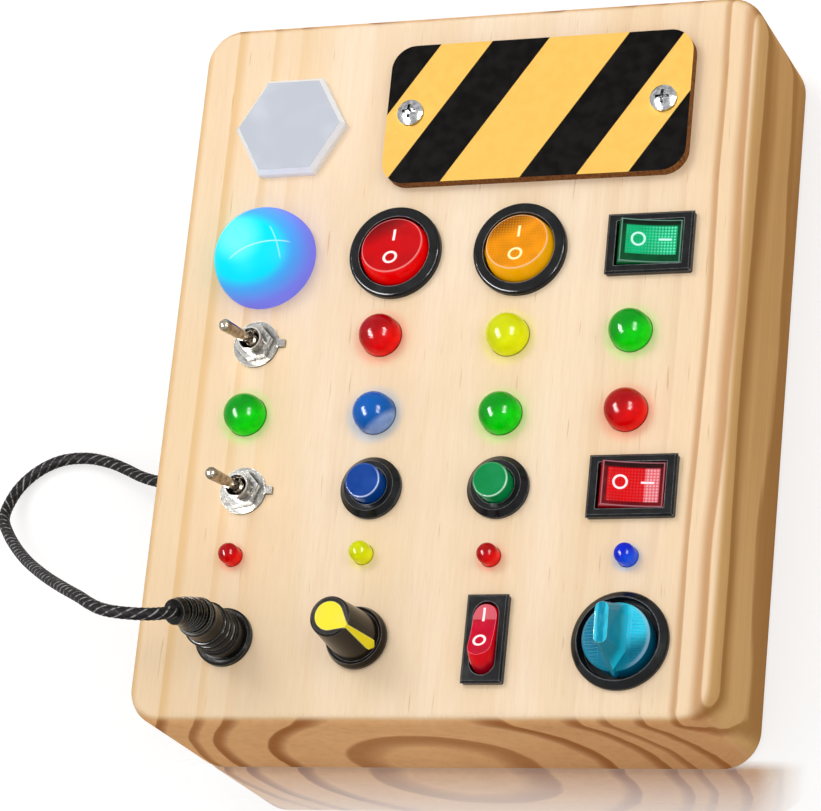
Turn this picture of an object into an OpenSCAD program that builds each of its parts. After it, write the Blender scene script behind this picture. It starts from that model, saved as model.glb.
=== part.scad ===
// Wooden busy board: a routed pine box that carries switches, lights,
// buttons, knobs and a plug on a cord. It lies on its back: +Z is out of
// the front face, +Y is towards the striped plate, +X is to the right.
// The origin is at the middle of the back face. All sizes are millimetres.

/* [Board] */
// Width of the board, side to side
board_w = 143; // [141:1:150]
// Height of the board, bottom edge to top edge
board_h = 178; // [176:1:186]
// Thickness of the board, back face to front face
board_t = 42; // [40:1:48]
// Radius of the four corners, seen from the front
corner_r = 9; // [8:0.5:10]
// Radius that rounds over every outer edge
edge_r = 3; // [1.5:0.5:4]
// Thickness of the side walls
side_wall = 8; // [7.5:0.5:8.5]
// Thickness of the wood behind the front face
front_wall = 4; // [3.5:0.5:4.5]
// Thickness of the plywood back panel
panel_t = 3; // [2.5:0.5:3]

/* [Layout on the front face] */
// Middle of the hexagonal mirror, x and y
mirror_at = [-45.5, 60.5]; // [-46:0.5:-45]
// Middle of the striped plate
plate_at = [18, 61.5]; // [17:0.5:19]
// Middle of the dome lamp
dome_at = [-48.5, 26.5]; // [-49:0.5:-47]
// Middle of the round red rocker switch
red_at = [-15, 26.5]; // [-16:0.5:-14]
// Middle of the round amber rocker switch
amber_at = [16.5, 26]; // [16:0.5:17]
// Middle of the rectangular green rocker switch
green_at = [48.5, 26]; // [48:0.5:49]
// Middle of the rectangular crimson rocker switch
crimson_at = [49, -33.5]; // [48:0.5:49]
// Middle of the slim rocker switch
slim_at = [17, -69.5]; // [16:0.5:18]
// Middle of the upper toggle switch
upper_toggle_at = [-48.5, 4.5]; // [-49:0.5:-47]
// Middle of the lower toggle switch
lower_toggle_at = [-47.5, -32.5]; // [-49:0.5:-47]
// Middle of the blue push button
blue_button_at = [-15, -32.5]; // [-16:0.5:-14]
// Middle of the green push button
green_button_at = [16.5, -33]; // [16:0.5:17]
// Middle of the dimmer knob
dimmer_at = [-14.5, -69]; // [-15:0.5:-14]
// Middle of the rotary switch
rotary_at = [49, -70]; // [48:0.5:49]
// Middle of the power socket
socket_at = [-48, -68.5]; // [-49:0.5:-47]
// Places of the large lamps, by colour
big_red_at = [[-16.5, 5.5], [46, -15]]; // [-49:0.5:49]
big_yellow_at = [[15.5, 4.5]]; // [-49:0.5:49]
big_green_at = [[45.5, 4.5], [-49, -13.5], [15.5, -15]]; // [-49:0.5:49]
big_blue_at = [[-16, -14]]; // [-49:0.5:49]
// Places of the small lamps, by colour
small_red_at = [[-48.5, -48.5], [16, -49.5]]; // [-49:0.5:49]
small_yellow_at = [[-15.5, -48.5]]; // [-49:0.5:49]
small_blue_at = [[49, -50]]; // [-49:0.5:49]

/* [Plate and mirror] */
// Width of the striped plate
plate_w = 76; // [70:1:78]
// Height of the striped plate
plate_h = 36; // [30:1:38]
// Thickness of the striped plate
plate_t = 3; // [2:0.5:4]
// Distance between the plate's two screws
plate_screw_gap = 63.5; // [55:0.5:66]
// Radius of the mirror over its corners
mirror_r = 14.4; // [12:0.2:15]

/* [Switches] */
// Outer radius of the round bezels
bezel_r = 11.5; // [11:0.1:12]
// Width of the rectangular bezels
rect_bezel_w = 21; // [20:0.5:22]
// Height of the rectangular bezels
rect_bezel_h = 15; // [14.5:0.5:16]
// Width of the slim bezel
slim_bezel_w = 10; // [9.5:0.5:11]
// Height of the slim bezel
slim_bezel_h = 21; // [20.5:0.5:22]
// Height of a bezel above the wood
bezel_t = 2; // [1.5:0.1:2.4]
// Angle of a rocker from its middle to either stop
rocker_tilt = 12; // [8:1:12]
// Angle of the slim rocker from its middle to either stop
slim_tilt = 16; // [12:1:16]
// Angle of a toggle lever from upright to either stop
toggle_tilt = 13; // [10:1:13]
// Length of a toggle lever above its bushing
lever_l = 10.5; // [8:0.5:12]
// Radius of a push button's flange
button_flange_r = 7.5; // [7:0.1:8]
// Height of a push button's cap above the wood
button_cap_z = 6.5; // [5.5:0.1:7.5]

/* [Knobs] */
// Radius of the dimmer knob's skirt
skirt_r = 7.4; // [7:0.1:8]
// Height of the dimmer knob's top above the wood
knob_top_z = 18.5; // [16:0.5:20]
// Direction of the dimmer's pointer, from +X towards +Y
pointer_angle = -28; // [-60:1:240]
// Radius of the rotary knob's disc
rotary_knob_r = 8; // [7.5:0.1:8.4]
// Height of the rotary knob's ridge above the wood
rotary_ridge_z = 15; // [11:0.5:16]

/* [Lamps] */
// Radius of the dome lamp
dome_r = 12.7; // [12:0.1:13]
// Radius of a large lamp
big_lamp_r = 5; // [4.8:0.1:5]
// Radius of a small lamp
small_lamp_r = 2.5; // [2.4:0.1:2.5]

/* [Plug and cord] */
// Radius of the plug's grip
plug_r = 5.7; // [5.5:0.1:6.2]
// Angle through which the plug's neck gives way to the cord
neck_bend = 26; // [26:1:26]
// Radius of the cord
cord_r = 1.5; // [1.4:0.1:1.6]

/* [Hidden] */
$fn = 64;

// Gap between pieces that are pressed together
fit_gap = 0.02;
// Gap between pieces that only sit in each other
seat_gap = 0.1;
// Gap between pieces that move past each other
run_gap = 0.3;
// Gap round a pin or shaft that turns in its hole
pin_gap = 0.07;
// How far a cutter runs past the face it opens
past = 1;

front = board_t;
inner_front = board_t - front_wall;
cavity_w = board_w - 2 * side_wall;
cavity_h = board_h - 2 * side_wall;
cavity_r = 5;
rebate = 2.5;
panel_w = cavity_w + 2 * rebate;
panel_h = cavity_h + 2 * rebate;
panel_r = cavity_r + rebate;

// Screw posts in the corners and half way up the sides
post_r = 4.5;
post_in = 2;
post_x = cavity_w / 2 - post_in;
post_y = cavity_h / 2 - post_in;
post_places = [
  [-post_x, -post_y], [post_x, -post_y], [-post_x, post_y],
  [post_x, post_y], [-post_x, 15], [post_x, 8]
];
wood_screw_r = 1.4;
panel_screw_head_r = 3;
panel_screw_l = 14;

plate_r = 6;
plate_screw_head_r = 3.25;
plate_screw_head_t = 2.2;
plate_screw_l = 12;
plate_screw_places = [
  for (side = [-1, 1]) plate_at + [side * plate_screw_gap / 2, 0]
];

mirror_t = 3;
mirror_bevel = 1.2;

dome_wall = 1.6;
dome_spigot_r = 9.5;
dome_spigot_l = front_wall + 1.5;

// Depth of a switch housing behind the front face
housing_l = 14;
housing_floor = 1.5;
// Height of every rocker's pivot, from the front face
pivot_z = -0.5;
rocker_pin_r = 1.2;
rocker_floor = -5;
finger_r = 1.3;
finger_l = 7.6;

round_body_r = 9.9;
round_opening_r = 8.9;
round_rocker_r = round_opening_r - run_gap;
round_rocker_top = 4.3;
dish_r = 50;
dish_depth = 0.5;

rect_body_w = rect_bezel_w - 2;
rect_body_h = rect_bezel_h - 2;
rect_opening_w = rect_bezel_w - 4.6;
rect_opening_h = rect_bezel_h - 3.8;
rect_rocker_r = rect_opening_w / 2 - run_gap;
rect_rocker_l = rect_opening_h - 2 * run_gap;
rect_rocker_top = 3.6;
rect_dish_r = 40;

slim_body_w = slim_bezel_w - 1.8;
slim_body_h = slim_bezel_h - 1.8;
slim_opening_w = 6.2;
slim_opening_h = 17.4;
slim_rim_r = slim_opening_w / 2 - run_gap;
slim_wheel_r = slim_opening_h / 2 - slim_opening_w / 2;
slim_rocker_top = 5;
slim_dish_r = 22;
slim_dish = 1;

// Toggle switches
toggle_places = [upper_toggle_at, lower_toggle_at];
bushing_r = 2.95;
bushing_bore_r = 2.2;
bushing_mouth_r = 2.6;
bushing_top = 5;
bushing_floor = -3;
toggle_pivot_z = 2.6;
toggle_ball_r = 1.9;
toggle_pin_r = 0.55;
toggle_pin_l = 5.3;
toggle_body = [13.2, 8, 9.5];
toggle_plate_t = 0.8;
toggle_nut_across = 8;
toggle_nut_t = 2;
toggle_washer_r = 5.75;
toggle_washer_t = 0.8;
lever_neck_r = 1.15;
lever_tip_r = 1.5;

// Push buttons
button_places = [blue_button_at, green_button_at];
button_barrel_r = 5.9;
button_barrel_l = 15;
button_top_r = 6.1;
button_top_z = 2.6;
button_cap_r = 4.35;
button_bore_r = button_cap_r + run_gap;
button_lip_z = -1;
button_chamber_r = 5.2;
button_collar_r = button_chamber_r - run_gap;
button_collar_z = [-3, button_lip_z];
button_floor_z = 1.5 - button_barrel_l;
button_guide_r = 2.3;
button_guide_z = -8;
button_nut_across = 14;
button_nut_t = 2.5;
button_spring_r = 3.6;
spring_wire_r = 0.3;

// Dimmer
dimmer_body_r = 8.2;
dimmer_body_l = 8;
dimmer_bushing_r = 3.45;
dimmer_bushing_top = 2.4;
dimmer_nut_across = 9.5;
dimmer_nut_t = 2;
dimmer_shaft_r = 3;
dimmer_shaft_top = 13;
skirt_z = [0.6, 3.2];
knob_base_r = 6.1;
knob_top_r = 4.8;
pointer_w = 2.5;
pointer_tip_l = 1.6;
pointer_disc_r = 3.4;

// Rotary switch
rotary_opening_r = 9.3;
rotary_rim_z = 2.6;
rotary_rim_drop = 1.2;
rotary_recess_z = -1.8;
rotary_disc_z = [-1.2, 3.8];
rotary_spindle_r = 2.5;
rotary_spindle_l = 8;
flute_r = 0.35;
flute_pitch = 0.8;
flute_in = 3.7;
ridge_w = 3.2;
ridge_y = [-3, 3.3];
blade_foot = [5, 11.6];
blade_foot_y = -4.4;
blade_side = [6.4, 8.6];
nose_y = -8.95;

// Power socket and plug
socket_flange_r = 7;
socket_flange_t = 1.8;
socket_barrel_r = 5.4;
socket_barrel_l = 11;
socket_bore_r = 2.83;
socket_bore_l = 9;
socket_pin_r = 0.97;
socket_nut_across = 14;
socket_nut_t = 2.5;
barrel_r = 2.75;
barrel_bore_r = 1.05;
barrel_l = 9.5;
plug_ring_z = [6.2, 8.8, 11.4];
plug_collar_z = 17.5;
plug_collar_r = 4.8;
neck_r = 4.3;
neck_end_r = 3;
neck_l = 9.5;
neck_parts = 5;
neck_core_r = 2.4;
neck_web = 2.6;
neck_sink = 0.7;
web_sink = 0.4;
slot_t = 0.8;

// The neck follows an arc that leans this way, seen from the front
neck_lean = 235;
neck_arc_r = neck_l / (neck_bend * PI / 180);
neck_way = [cos(neck_lean), sin(neck_lean), 0];
up = [0, 0, 1];
cord_end = [socket_at.x, socket_at.y, front + plug_collar_z]
  + neck_arc_r * ((1 - cos(neck_bend)) * neck_way + sin(neck_bend) * up);
cord_end_way = sin(neck_bend) * neck_way + cos(neck_bend) * up;

// The cord leaves the left side here
cord_exit = [-board_w / 2, -20, 14];
cord_sides = 8;
bushing_out_r = 3;
// Points that the cord passes, from the board's side to the plug
cord_points = [
  cord_exit, cord_exit + [-4, 0, 0], cord_exit + [-8, 0, 0],
  [-84.5, -19.2, 13], [-90.5, -16.8, 10], [-96.5, -13.6, 6.6],
  [-103, -10.6, 3.6], [-110, -8.8, 2], [-117, -9.1, 1.7],
  [-123, -11.6, 1.7], [-127.4, -16, 2.4], [-129, -21.6, 4.6],
  [-127.6, -27, 8.6], [-122.4, -33, 15], [-115.5, -39.2, 23],
  [-107.5, -45.4, 32.4], [-99, -51.2, 42.4], [-90, -56.9, 52.6],
  [-81, -62.2, 62.2], [-72.5, -67, 70.6], [-67.8, -69.8, 74.6],
  [-63.6, -71.9, 77.4], [-59.8, -73, 78.5], [-55.6, -73.3, 77.8],
  [-52.2, -72.8, 75.5], cord_end + 3.6 * cord_end_way, cord_end
];
cord_steps = 2;

// Lamps
big_lamp_h = 1.5;
small_lamp_h = 2.4;
lamp_flange = 0.7;
lamp_foot = 1.5;
lead_w = 0.5;
lead_l = 8;
all_big_at = concat(big_red_at, big_yellow_at, big_green_at, big_blue_at);
all_small_at = concat(small_red_at, small_yellow_at, small_blue_at);

// Battery box, on the inside of the back panel behind the plate
battery_at = [0, 60];
cell_r = 7.2;
cell_l = 50.5;
cell_z = 11;
box_size = [66, 36, 17.5];
box_wall = 1.6;
door_size = [64, 30, 2.4];
door_screw_r = 1.2;
boss_x = 28.4;
contact_t = 0.5;

// Solder tags reach down to here from the housings
tag_w = 4.7;
tag_t = 0.8;
tag_l = 7;

// --- shapes ---------------------------------------------------------

module rounded_rect(w, h, r) {
  square([w - 2 * r, h], center = true);
  square([w, h - 2 * r], center = true);
  for (sx = [-1, 1], sy = [-1, 1])
    translate([sx * (w / 2 - r), sy * (h / 2 - r)]) circle(r);
}

module rounded_plate(w, h, r, t) {
  linear_extrude(t) rounded_rect(w, h, r);
}

// A block whose upright corners and whose edges are all rounded
module rounded_block(w, h, t, corner, edge) {
  translate([0, 0, t / 2]) {
    rotate([90, 0, 90]) linear_extrude(w - 2 * corner, center = true)
      rounded_rect(h, t, edge);
    rotate([90, 0, 0]) linear_extrude(h - 2 * corner, center = true)
      rounded_rect(w, t, edge);
  }
  for (sx = [-1, 1], sy = [-1, 1])
    translate([sx * (w / 2 - corner), sy * (h / 2 - corner), t / 2])
      rotate_extrude() intersection() {
        rounded_rect(2 * corner, t, edge);
        translate([0, -t / 2]) square([corner, t]);
      }
}

// Moves to a place on the front face
module on_front(at) {
  translate([at.x, at.y, front]) children();
}

// A round hole through the front wall
module front_bore(at, r) {
  on_front(at) translate([0, 0, -front_wall - past])
    cylinder(r = r, h = front_wall + 2 * past);
}

// A rectangular hole through the front wall
module front_slot(at, w, h) {
  on_front(at) translate([0, 0, -front_wall / 2])
    cube([w, h, front_wall + 2 * past], center = true);
}

module hex_nut(across, t, bore) {
  difference() {
    cylinder(r = across / sqrt(3), h = t, $fn = 6);
    translate([0, 0, -past]) cylinder(r = bore, h = t + 2 * past);
  }
}

// A cross recess, cut down from z = 0
module cross_recess(reach, w, deep) {
  for (turn = [0, 90])
    rotate([0, 0, turn]) translate([0, 0, -deep / 2 + past / 2])
      cube([reach, w, deep + past], center = true);
}

// --- sweeps ---------------------------------------------------------

function unit(v) = v / norm(v);

// A point on the smooth curve through four neighbouring points
function spline_at(a, b, c, d, t) =
  0.5 * (2 * b + (c - a) * t + (2 * a - 5 * b + 4 * c - d) * t * t
    + (3 * b - a - 3 * c + d) * t * t * t);

function smooth_path(p, steps) = let (last = len(p) - 1) [
  for (i = [0:last - 1], k = [0:steps - 1])
    spline_at(p[max(i - 1, 0)], p[i], p[i + 1], p[min(i + 2, last)], k / steps),
  p[last]
];

function path_dir(p, i) =
  unit(p[min(i + 1, len(p) - 1)] - p[max(i - 1, 0)]);

// Carries the ring's first spoke along the path without twisting it
function spokes(p, i, spoke) =
  let (d = path_dir(p, i), s = unit(spoke - (spoke * d) * d))
  i == len(p) - 1 ? [s] : concat([s], spokes(p, i + 1, s));

module tube(p, r, sides, first_spoke) {
  s = spokes(p, 0, first_spoke);
  rings = [
    for (i = [0:len(p) - 1]) let (d = path_dir(p, i), c = cross(d, s[i]))
      for (k = [0:sides - 1]) let (a = 360 * k / sides)
        p[i] + r * (cos(a) * s[i] + sin(a) * c)
  ];
  top = (len(p) - 1) * sides;
  polyhedron(
    points = rings,
    faces = concat(
      [[for (k = [0:sides - 1]) k]],
      [for (i = [0:len(p) - 2], k = [0:sides - 1]) let (n = (k + 1) % sides)
        [i * sides + k, (i + 1) * sides + k,
          (i + 1) * sides + n, i * sides + n]],
      [[for (k = [sides - 1:-1:0]) top + k]]
    ),
    convexity = 10
  );
}

// A compression spring round the Z axis, from z = 0 to z = l
module coil(r, wire, turns, l, steps = 14) {
  rise = l - 2 * wire;
  tube([
    for (i = [0:turns * steps]) let (a = 360 * i / steps)
      [r * cos(a), r * sin(a), wire + rise * i / (turns * steps)]
  ], wire, 6, [1, 0, 0]);
}

// --- wooden case ----------------------------------------------------

module wood_case() color([0.95, 0.86, 0.72]) difference() {
  union() {
    difference() {
      rounded_block(board_w, board_h, board_t, corner_r, edge_r);
      translate([0, 0, -past])
        rounded_plate(cavity_w, cavity_h, cavity_r, inner_front + past);
    }
    for (at = post_places) translate([at.x, at.y, panel_t])
      cylinder(r = post_r, h = inner_front - panel_t + past);
  }
  translate([0, 0, -past])
    rounded_plate(panel_w, panel_h, panel_r, panel_t + past);
  for (at = post_places) translate([at.x, at.y, 0])
    cylinder(r = wood_screw_r + seat_gap, h = panel_screw_l + 1);
  for (at = plate_screw_places) front_bore(at, wood_screw_r + seat_gap);
  front_bore(dome_at, dome_spigot_r + seat_gap);
  for (at = [red_at, amber_at, rotary_at])
    front_bore(at, round_body_r + seat_gap);
  for (at = [green_at, crimson_at])
    front_slot(at, rect_body_w + 2 * seat_gap, rect_body_h + 2 * seat_gap);
  front_slot(slim_at, slim_body_w + 2 * seat_gap, slim_body_h + 2 * seat_gap);
  for (at = toggle_places) front_bore(at, bushing_r + seat_gap);
  for (at = button_places) front_bore(at, button_barrel_r + seat_gap);
  front_bore(dimmer_at, dimmer_bushing_r + seat_gap);
  front_bore(socket_at, socket_barrel_r + seat_gap);
  for (at = all_big_at) front_bore(at, big_lamp_r + seat_gap);
  for (at = all_small_at) front_bore(at, small_lamp_r + seat_gap);
  translate(cord_exit + [-past, 0, 0]) rotate([0, 90, 0])
    cylinder(r = bushing_out_r + seat_gap, h = side_wall + 2 * past);
}

module back_panel() color([0.82, 0.68, 0.48]) difference() {
  rounded_plate(panel_w - 2 * seat_gap, panel_h - 2 * seat_gap, panel_r,
    panel_t);
  for (at = post_places) translate([at.x, at.y, 0]) {
    translate([0, 0, -past])
      cylinder(r = wood_screw_r + seat_gap, h = panel_t + 2 * past);
    cylinder(r1 = panel_screw_head_r + seat_gap, r2 = wood_screw_r + seat_gap,
      h = panel_screw_head_r - wood_screw_r);
  }
  translate([battery_at.x, battery_at.y, panel_t / 2])
    cube([door_size.x + 2 * seat_gap, door_size.y + 2 * seat_gap,
      panel_t + 2 * past], center = true);
}

module panel_screws() color([0.75, 0.75, 0.76])
  for (at = post_places) translate([at.x, at.y, 0]) difference() {
    union() {
      cylinder(r1 = panel_screw_head_r, r2 = wood_screw_r,
        h = panel_screw_head_r - wood_screw_r);
      cylinder(r = wood_screw_r, h = panel_screw_l - wood_screw_r);
      translate([0, 0, panel_screw_l - wood_screw_r])
        cylinder(r1 = wood_screw_r, r2 = 0.2, h = wood_screw_r);
    }
    mirror([0, 0, 1]) cross_recess(3, 0.7, 1.2);
  }

// --- plate and mirror -----------------------------------------------

module striped_plate() color([0.99, 0.79, 0.38]) difference() {
  on_front(plate_at) rounded_plate(plate_w, plate_h, plate_r, plate_t);
  for (at = plate_screw_places) on_front(at) translate([0, 0, -past])
    cylinder(r = wood_screw_r + seat_gap, h = plate_t + 2 * past);
}

// Pan head screws, with domed heads and a cross recess
module plate_screws() color([0.85, 0.85, 0.86])
  for (at = plate_screw_places) on_front(at) translate([0, 0, plate_t]) {
    difference() {
      rotate_extrude() intersection() {
        translate([0, -3.2]) circle(5.4);
        square([plate_screw_head_r, plate_screw_head_t]);
      }
      translate([0, 0, plate_screw_head_t]) cross_recess(3.6, 0.8, 1.3);
    }
    translate([0, 0, wood_screw_r - plate_screw_l])
      cylinder(r = wood_screw_r, h = plate_screw_l - wood_screw_r);
    translate([0, 0, -plate_screw_l])
      cylinder(r1 = 0.2, r2 = wood_screw_r, h = wood_screw_r);
  }

module mirror_tile() color([0.80, 0.84, 0.88]) on_front(mirror_at) {
  cylinder(r = mirror_r, h = mirror_t - mirror_bevel, $fn = 6);
  translate([0, 0, mirror_t - mirror_bevel])
    cylinder(r1 = mirror_r, r2 = mirror_r - mirror_bevel, h = mirror_bevel,
      $fn = 6);
}

// --- dome lamp ------------------------------------------------------

module dome_lens() color([0.2, 0.75, 1]) on_front(dome_at) rotate_extrude() {
  difference() {
    intersection() {
      circle(dome_r);
      square(dome_r);
    }
    translate([0, dome_wall]) intersection() {
      circle(dome_r - dome_wall);
      square(dome_r);
    }
    square([dome_spigot_r - dome_wall, dome_wall]);
  }
  translate([dome_spigot_r - dome_wall, -dome_spigot_l])
    square([dome_wall, dome_spigot_l]);
}

module dome_light_board() color([0.15, 0.4, 0.2]) on_front(dome_at) {
  translate([0, 0, -dome_spigot_l])
    cylinder(r = dome_spigot_r - dome_wall - seat_gap, h = 1.2);
  translate([-2.5, -2.5, 1.2 - dome_spigot_l]) cube([5, 5, 1.6]);
}

// --- round rocker switches ------------------------------------------

module round_housing(at) color([0.13, 0.13, 0.14]) on_front(at) difference() {
  rotate_extrude() {
    translate([round_opening_r, 0])
      square([bezel_r - 0.8 - round_opening_r, bezel_t]);
    translate([round_opening_r, 0])
      square([bezel_r - round_opening_r, bezel_t - 0.8]);
    translate([bezel_r - 0.8, bezel_t - 0.8]) circle(0.8);
    translate([round_opening_r, -housing_l])
      square([round_body_r - round_opening_r, housing_l]);
    translate([0, -housing_l]) square([round_body_r, housing_floor]);
  }
  translate([0, 0, pivot_z]) rotate([0, 90, 0])
    cylinder(r = rocker_pin_r + pin_gap, h = 2 * round_body_r - 0.6,
      center = true);
}

// The side of a round rocker is part of a ball about its pivot, so it
// keeps its gap to the bezel as it rocks
module round_rocker(at) on_front(at) translate([0, 0, pivot_z])
  rotate([-rocker_tilt, 0, 0]) {
    difference() {
      intersection() {
        sphere(round_rocker_r);
        translate([0, 0, (round_rocker_top + rocker_floor) / 2])
          cube([2 * bezel_r, 2 * bezel_r, round_rocker_top - rocker_floor],
            center = true);
      }
      translate([0, 0, round_rocker_top + dish_r - dish_depth])
        sphere(dish_r);
    }
    rotate([0, 90, 0])
      cylinder(r = rocker_pin_r, h = 2 * round_body_r - 1, center = true);
    translate([0, 0, -finger_l]) cylinder(r = finger_r, h = 4);
  }

module red_rocker_housing() round_housing(red_at);
module red_rocker() color([0.8, 0.03, 0.06]) round_rocker(red_at);
module amber_rocker_housing() round_housing(amber_at);
module amber_rocker() color([0.98, 0.6, 0.05]) round_rocker(amber_at);

// --- rectangular rocker switches ------------------------------------

module bevelled_bezel(w, h, t, bevel) {
  rounded_plate(w, h, 0.6, t - bevel);
  hull() {
    translate([0, 0, t - bevel - 0.1])
      cube([w, h, 0.2], center = true);
    translate([0, 0, t - 0.1])
      cube([w - 2 * bevel, h - 2 * bevel, 0.2], center = true);
  }
}

module rect_housing(at) color([0.13, 0.13, 0.14]) on_front(at) difference() {
  union() {
    bevelled_bezel(rect_bezel_w, rect_bezel_h, bezel_t, 0.5);
    translate([0, 0, -housing_l / 2])
      cube([rect_body_w, rect_body_h, housing_l], center = true);
  }
  translate([0, 0, housing_floor / 2])
    cube([rect_opening_w, rect_opening_h, housing_l * 2 - housing_floor],
      center = true);
  translate([0, 0, pivot_z]) rotate([90, 0, 0])
    cylinder(r = rocker_pin_r + pin_gap, h = rect_body_h - 0.5,
      center = true);
}

// Both ends follow one arc about the pivot, and the top is hollowed for
// a finger
module rect_rocker(at) on_front(at) translate([0, 0, pivot_z])
  rotate([90, rocker_tilt, 0]) {
    linear_extrude(rect_rocker_l, center = true) difference() {
      intersection() {
        circle(rect_rocker_r);
        translate([-rect_rocker_r, rocker_floor])
          square([2 * rect_rocker_r, rect_rocker_top - rocker_floor]);
      }
      translate([0, rect_rocker_top + rect_dish_r - 0.7])
        circle(rect_dish_r);
    }
    cylinder(r = rocker_pin_r, h = rect_body_h - 0.9, center = true);
    rotate([90, 0, 0]) translate([0, 0, 3.6])
      cylinder(r = finger_r, h = finger_l - 3.6);
  }

module green_rocker_housing() rect_housing(green_at);
module green_rocker() color([0, 0.72, 0.45]) rect_rocker(green_at);
module crimson_rocker_housing() rect_housing(crimson_at);
module crimson_rocker() color([0.85, 0.05, 0.1]) rect_rocker(crimson_at);

// --- slim rocker switch ---------------------------------------------

module stadium(w, h) {
  square([w, h - w], center = true);
  for (sy = [-1, 1]) translate([0, sy * (h - w) / 2]) circle(w / 2);
}

module slim_rocker_housing() color([0.13, 0.13, 0.14]) on_front(slim_at)
  difference() {
    union() {
      bevelled_bezel(slim_bezel_w, slim_bezel_h, bezel_t, 0.5);
      translate([0, 0, -housing_l / 2])
        cube([slim_body_w, slim_body_h, housing_l], center = true);
    }
    translate([0, 0, housing_floor - housing_l])
      linear_extrude(housing_l + bezel_t) stadium(slim_opening_w,
        slim_opening_h);
    translate([0, 0, pivot_z]) rotate([0, 90, 0])
      cylinder(r = rocker_pin_r + pin_gap, h = slim_body_w - 0.6,
        center = true);
  }

// A slice of a thick wheel with a round rim, so the rocker keeps its gap
// to the round-ended slot as it rocks
module slim_rocker() color([0.86, 0, 0.12]) on_front(slim_at)
  translate([0, 0, pivot_z]) rotate([-slim_tilt, 0, 0]) {
    difference() {
      intersection() {
        rotate([0, 90, 0]) rotate_extrude() {
          translate([0, -slim_rim_r]) square([slim_wheel_r, 2 * slim_rim_r]);
          translate([slim_wheel_r, 0]) intersection() {
            circle(slim_rim_r);
            translate([0, -slim_rim_r]) square([slim_rim_r, 2 * slim_rim_r]);
          }
        }
        translate([0, 0, (slim_rocker_top + rocker_floor) / 2])
          cube([slim_bezel_w, slim_bezel_h, slim_rocker_top - rocker_floor],
            center = true);
      }
      translate([0, 0, slim_rocker_top + slim_dish_r - slim_dish])
        rotate([0, 90, 0])
          cylinder(r = slim_dish_r, h = slim_bezel_w, center = true);
    }
    rotate([0, 90, 0])
      cylinder(r = rocker_pin_r, h = slim_body_w - 1, center = true);
    translate([0, 0, -finger_l]) cylinder(r = finger_r, h = 4);
  }

// --- toggle switches ------------------------------------------------

module toggle_bodies() color([0.7, 0.1, 0.1])
  for (at = toggle_places) on_front(at)
    translate([0, 0, -front_wall - toggle_plate_t - toggle_body.z / 2])
      cube(toggle_body, center = true);

module toggle_bushings() color([0.8, 0.8, 0.8])
  for (at = toggle_places) on_front(at) difference() {
    union() {
      translate([0, 0, -front_wall])
        cylinder(r = bushing_r, h = front_wall + bushing_top);
      translate([0, 0, -front_wall - toggle_plate_t / 2])
        cube([toggle_body.x, toggle_body.y, toggle_plate_t], center = true);
    }
    translate([0, 0, bushing_floor])
      cylinder(r = bushing_bore_r, h = bushing_top - bushing_floor + past);
    translate([0, 0, bushing_top - 1.2])
      cylinder(r1 = bushing_bore_r, r2 = bushing_mouth_r, h = 1.2);
    translate([0, 0, toggle_pivot_z]) rotate([90, 0, 0])
      cylinder(r = toggle_pin_r + pin_gap, h = toggle_pin_l + 0.2,
        center = true);
  }

module toggle_nuts() color([0.85, 0.85, 0.85])
  for (at = toggle_places) on_front(at) translate([0, 0, toggle_washer_t])
    rotate([0, 0, 12])
      hex_nut(toggle_nut_across, toggle_nut_t, bushing_r + seat_gap / 2);

// Washers whose tab stops the switch from turning
module toggle_washers() color([0.82, 0.82, 0.82])
  for (at = toggle_places) on_front(at) difference() {
    union() {
      cylinder(r = toggle_washer_r, h = toggle_washer_t);
      translate([toggle_washer_r - 0.8, -0.9, 0]) cube([2.6, 1.8, 1.3]);
    }
    translate([0, 0, -past])
      cylinder(r = bushing_r + seat_gap / 2, h = 3 * past);
    translate([0, 0, toggle_washer_t])
      cylinder(r = toggle_washer_r, h = past);
  }

// A ball on a cross pin in the bushing, a rod that thickens to a round
// tip, and a stem that works the contacts
module toggle_lever(at) color([0.78, 0.76, 0.74]) on_front(at)
  translate([0, 0, toggle_pivot_z]) rotate([0, -toggle_tilt, 0]) {
    sphere(toggle_ball_r);
    rod_l = bushing_top - toggle_pivot_z + lever_l - lever_tip_r;
    cylinder(r1 = lever_neck_r, r2 = lever_tip_r, h = rod_l);
    translate([0, 0, rod_l]) sphere(lever_tip_r);
    translate([0, 0, -4]) cylinder(r = 0.8, h = 4);
    rotate([90, 0, 0])
      cylinder(r = toggle_pin_r, h = toggle_pin_l, center = true);
  }

module upper_toggle_lever() toggle_lever(upper_toggle_at);
module lower_toggle_lever() toggle_lever(lower_toggle_at);

// --- push buttons ---------------------------------------------------

module button_body(at) color([0.12, 0.12, 0.13]) on_front(at)
  rotate_extrude() difference() {
    union() {
      translate([0, -button_barrel_l])
        square([button_barrel_r, button_barrel_l]);
      polygon([
        [0, 0], [button_flange_r, 0], [button_flange_r, 1],
        [button_flange_r - 0.3, 1.3], [button_top_r, button_top_z],
        [0, button_top_z]
      ]);
    }
    translate([0, button_lip_z])
      square([button_bore_r, button_top_z - button_lip_z]);
    translate([0, button_floor_z])
      square([button_chamber_r, button_lip_z - button_floor_z]);
  }

module button_cap(at) on_front(at) rotate_extrude() {
  cap_edge = 0.5;
  translate([0, button_collar_z[0]])
    square([button_cap_r, button_cap_z - cap_edge - button_collar_z[0]]);
  square([button_cap_r - cap_edge, button_cap_z]);
  intersection() {
    translate([button_cap_r - cap_edge, button_cap_z - cap_edge])
      circle(cap_edge);
    square([button_cap_r, button_cap_z]);
  }
  translate([0, button_collar_z[0]])
    square([button_collar_r, button_collar_z[1] - button_collar_z[0]]);
  translate([0, button_guide_z])
    square([button_guide_r, button_collar_z[0] - button_guide_z]);
}

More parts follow.
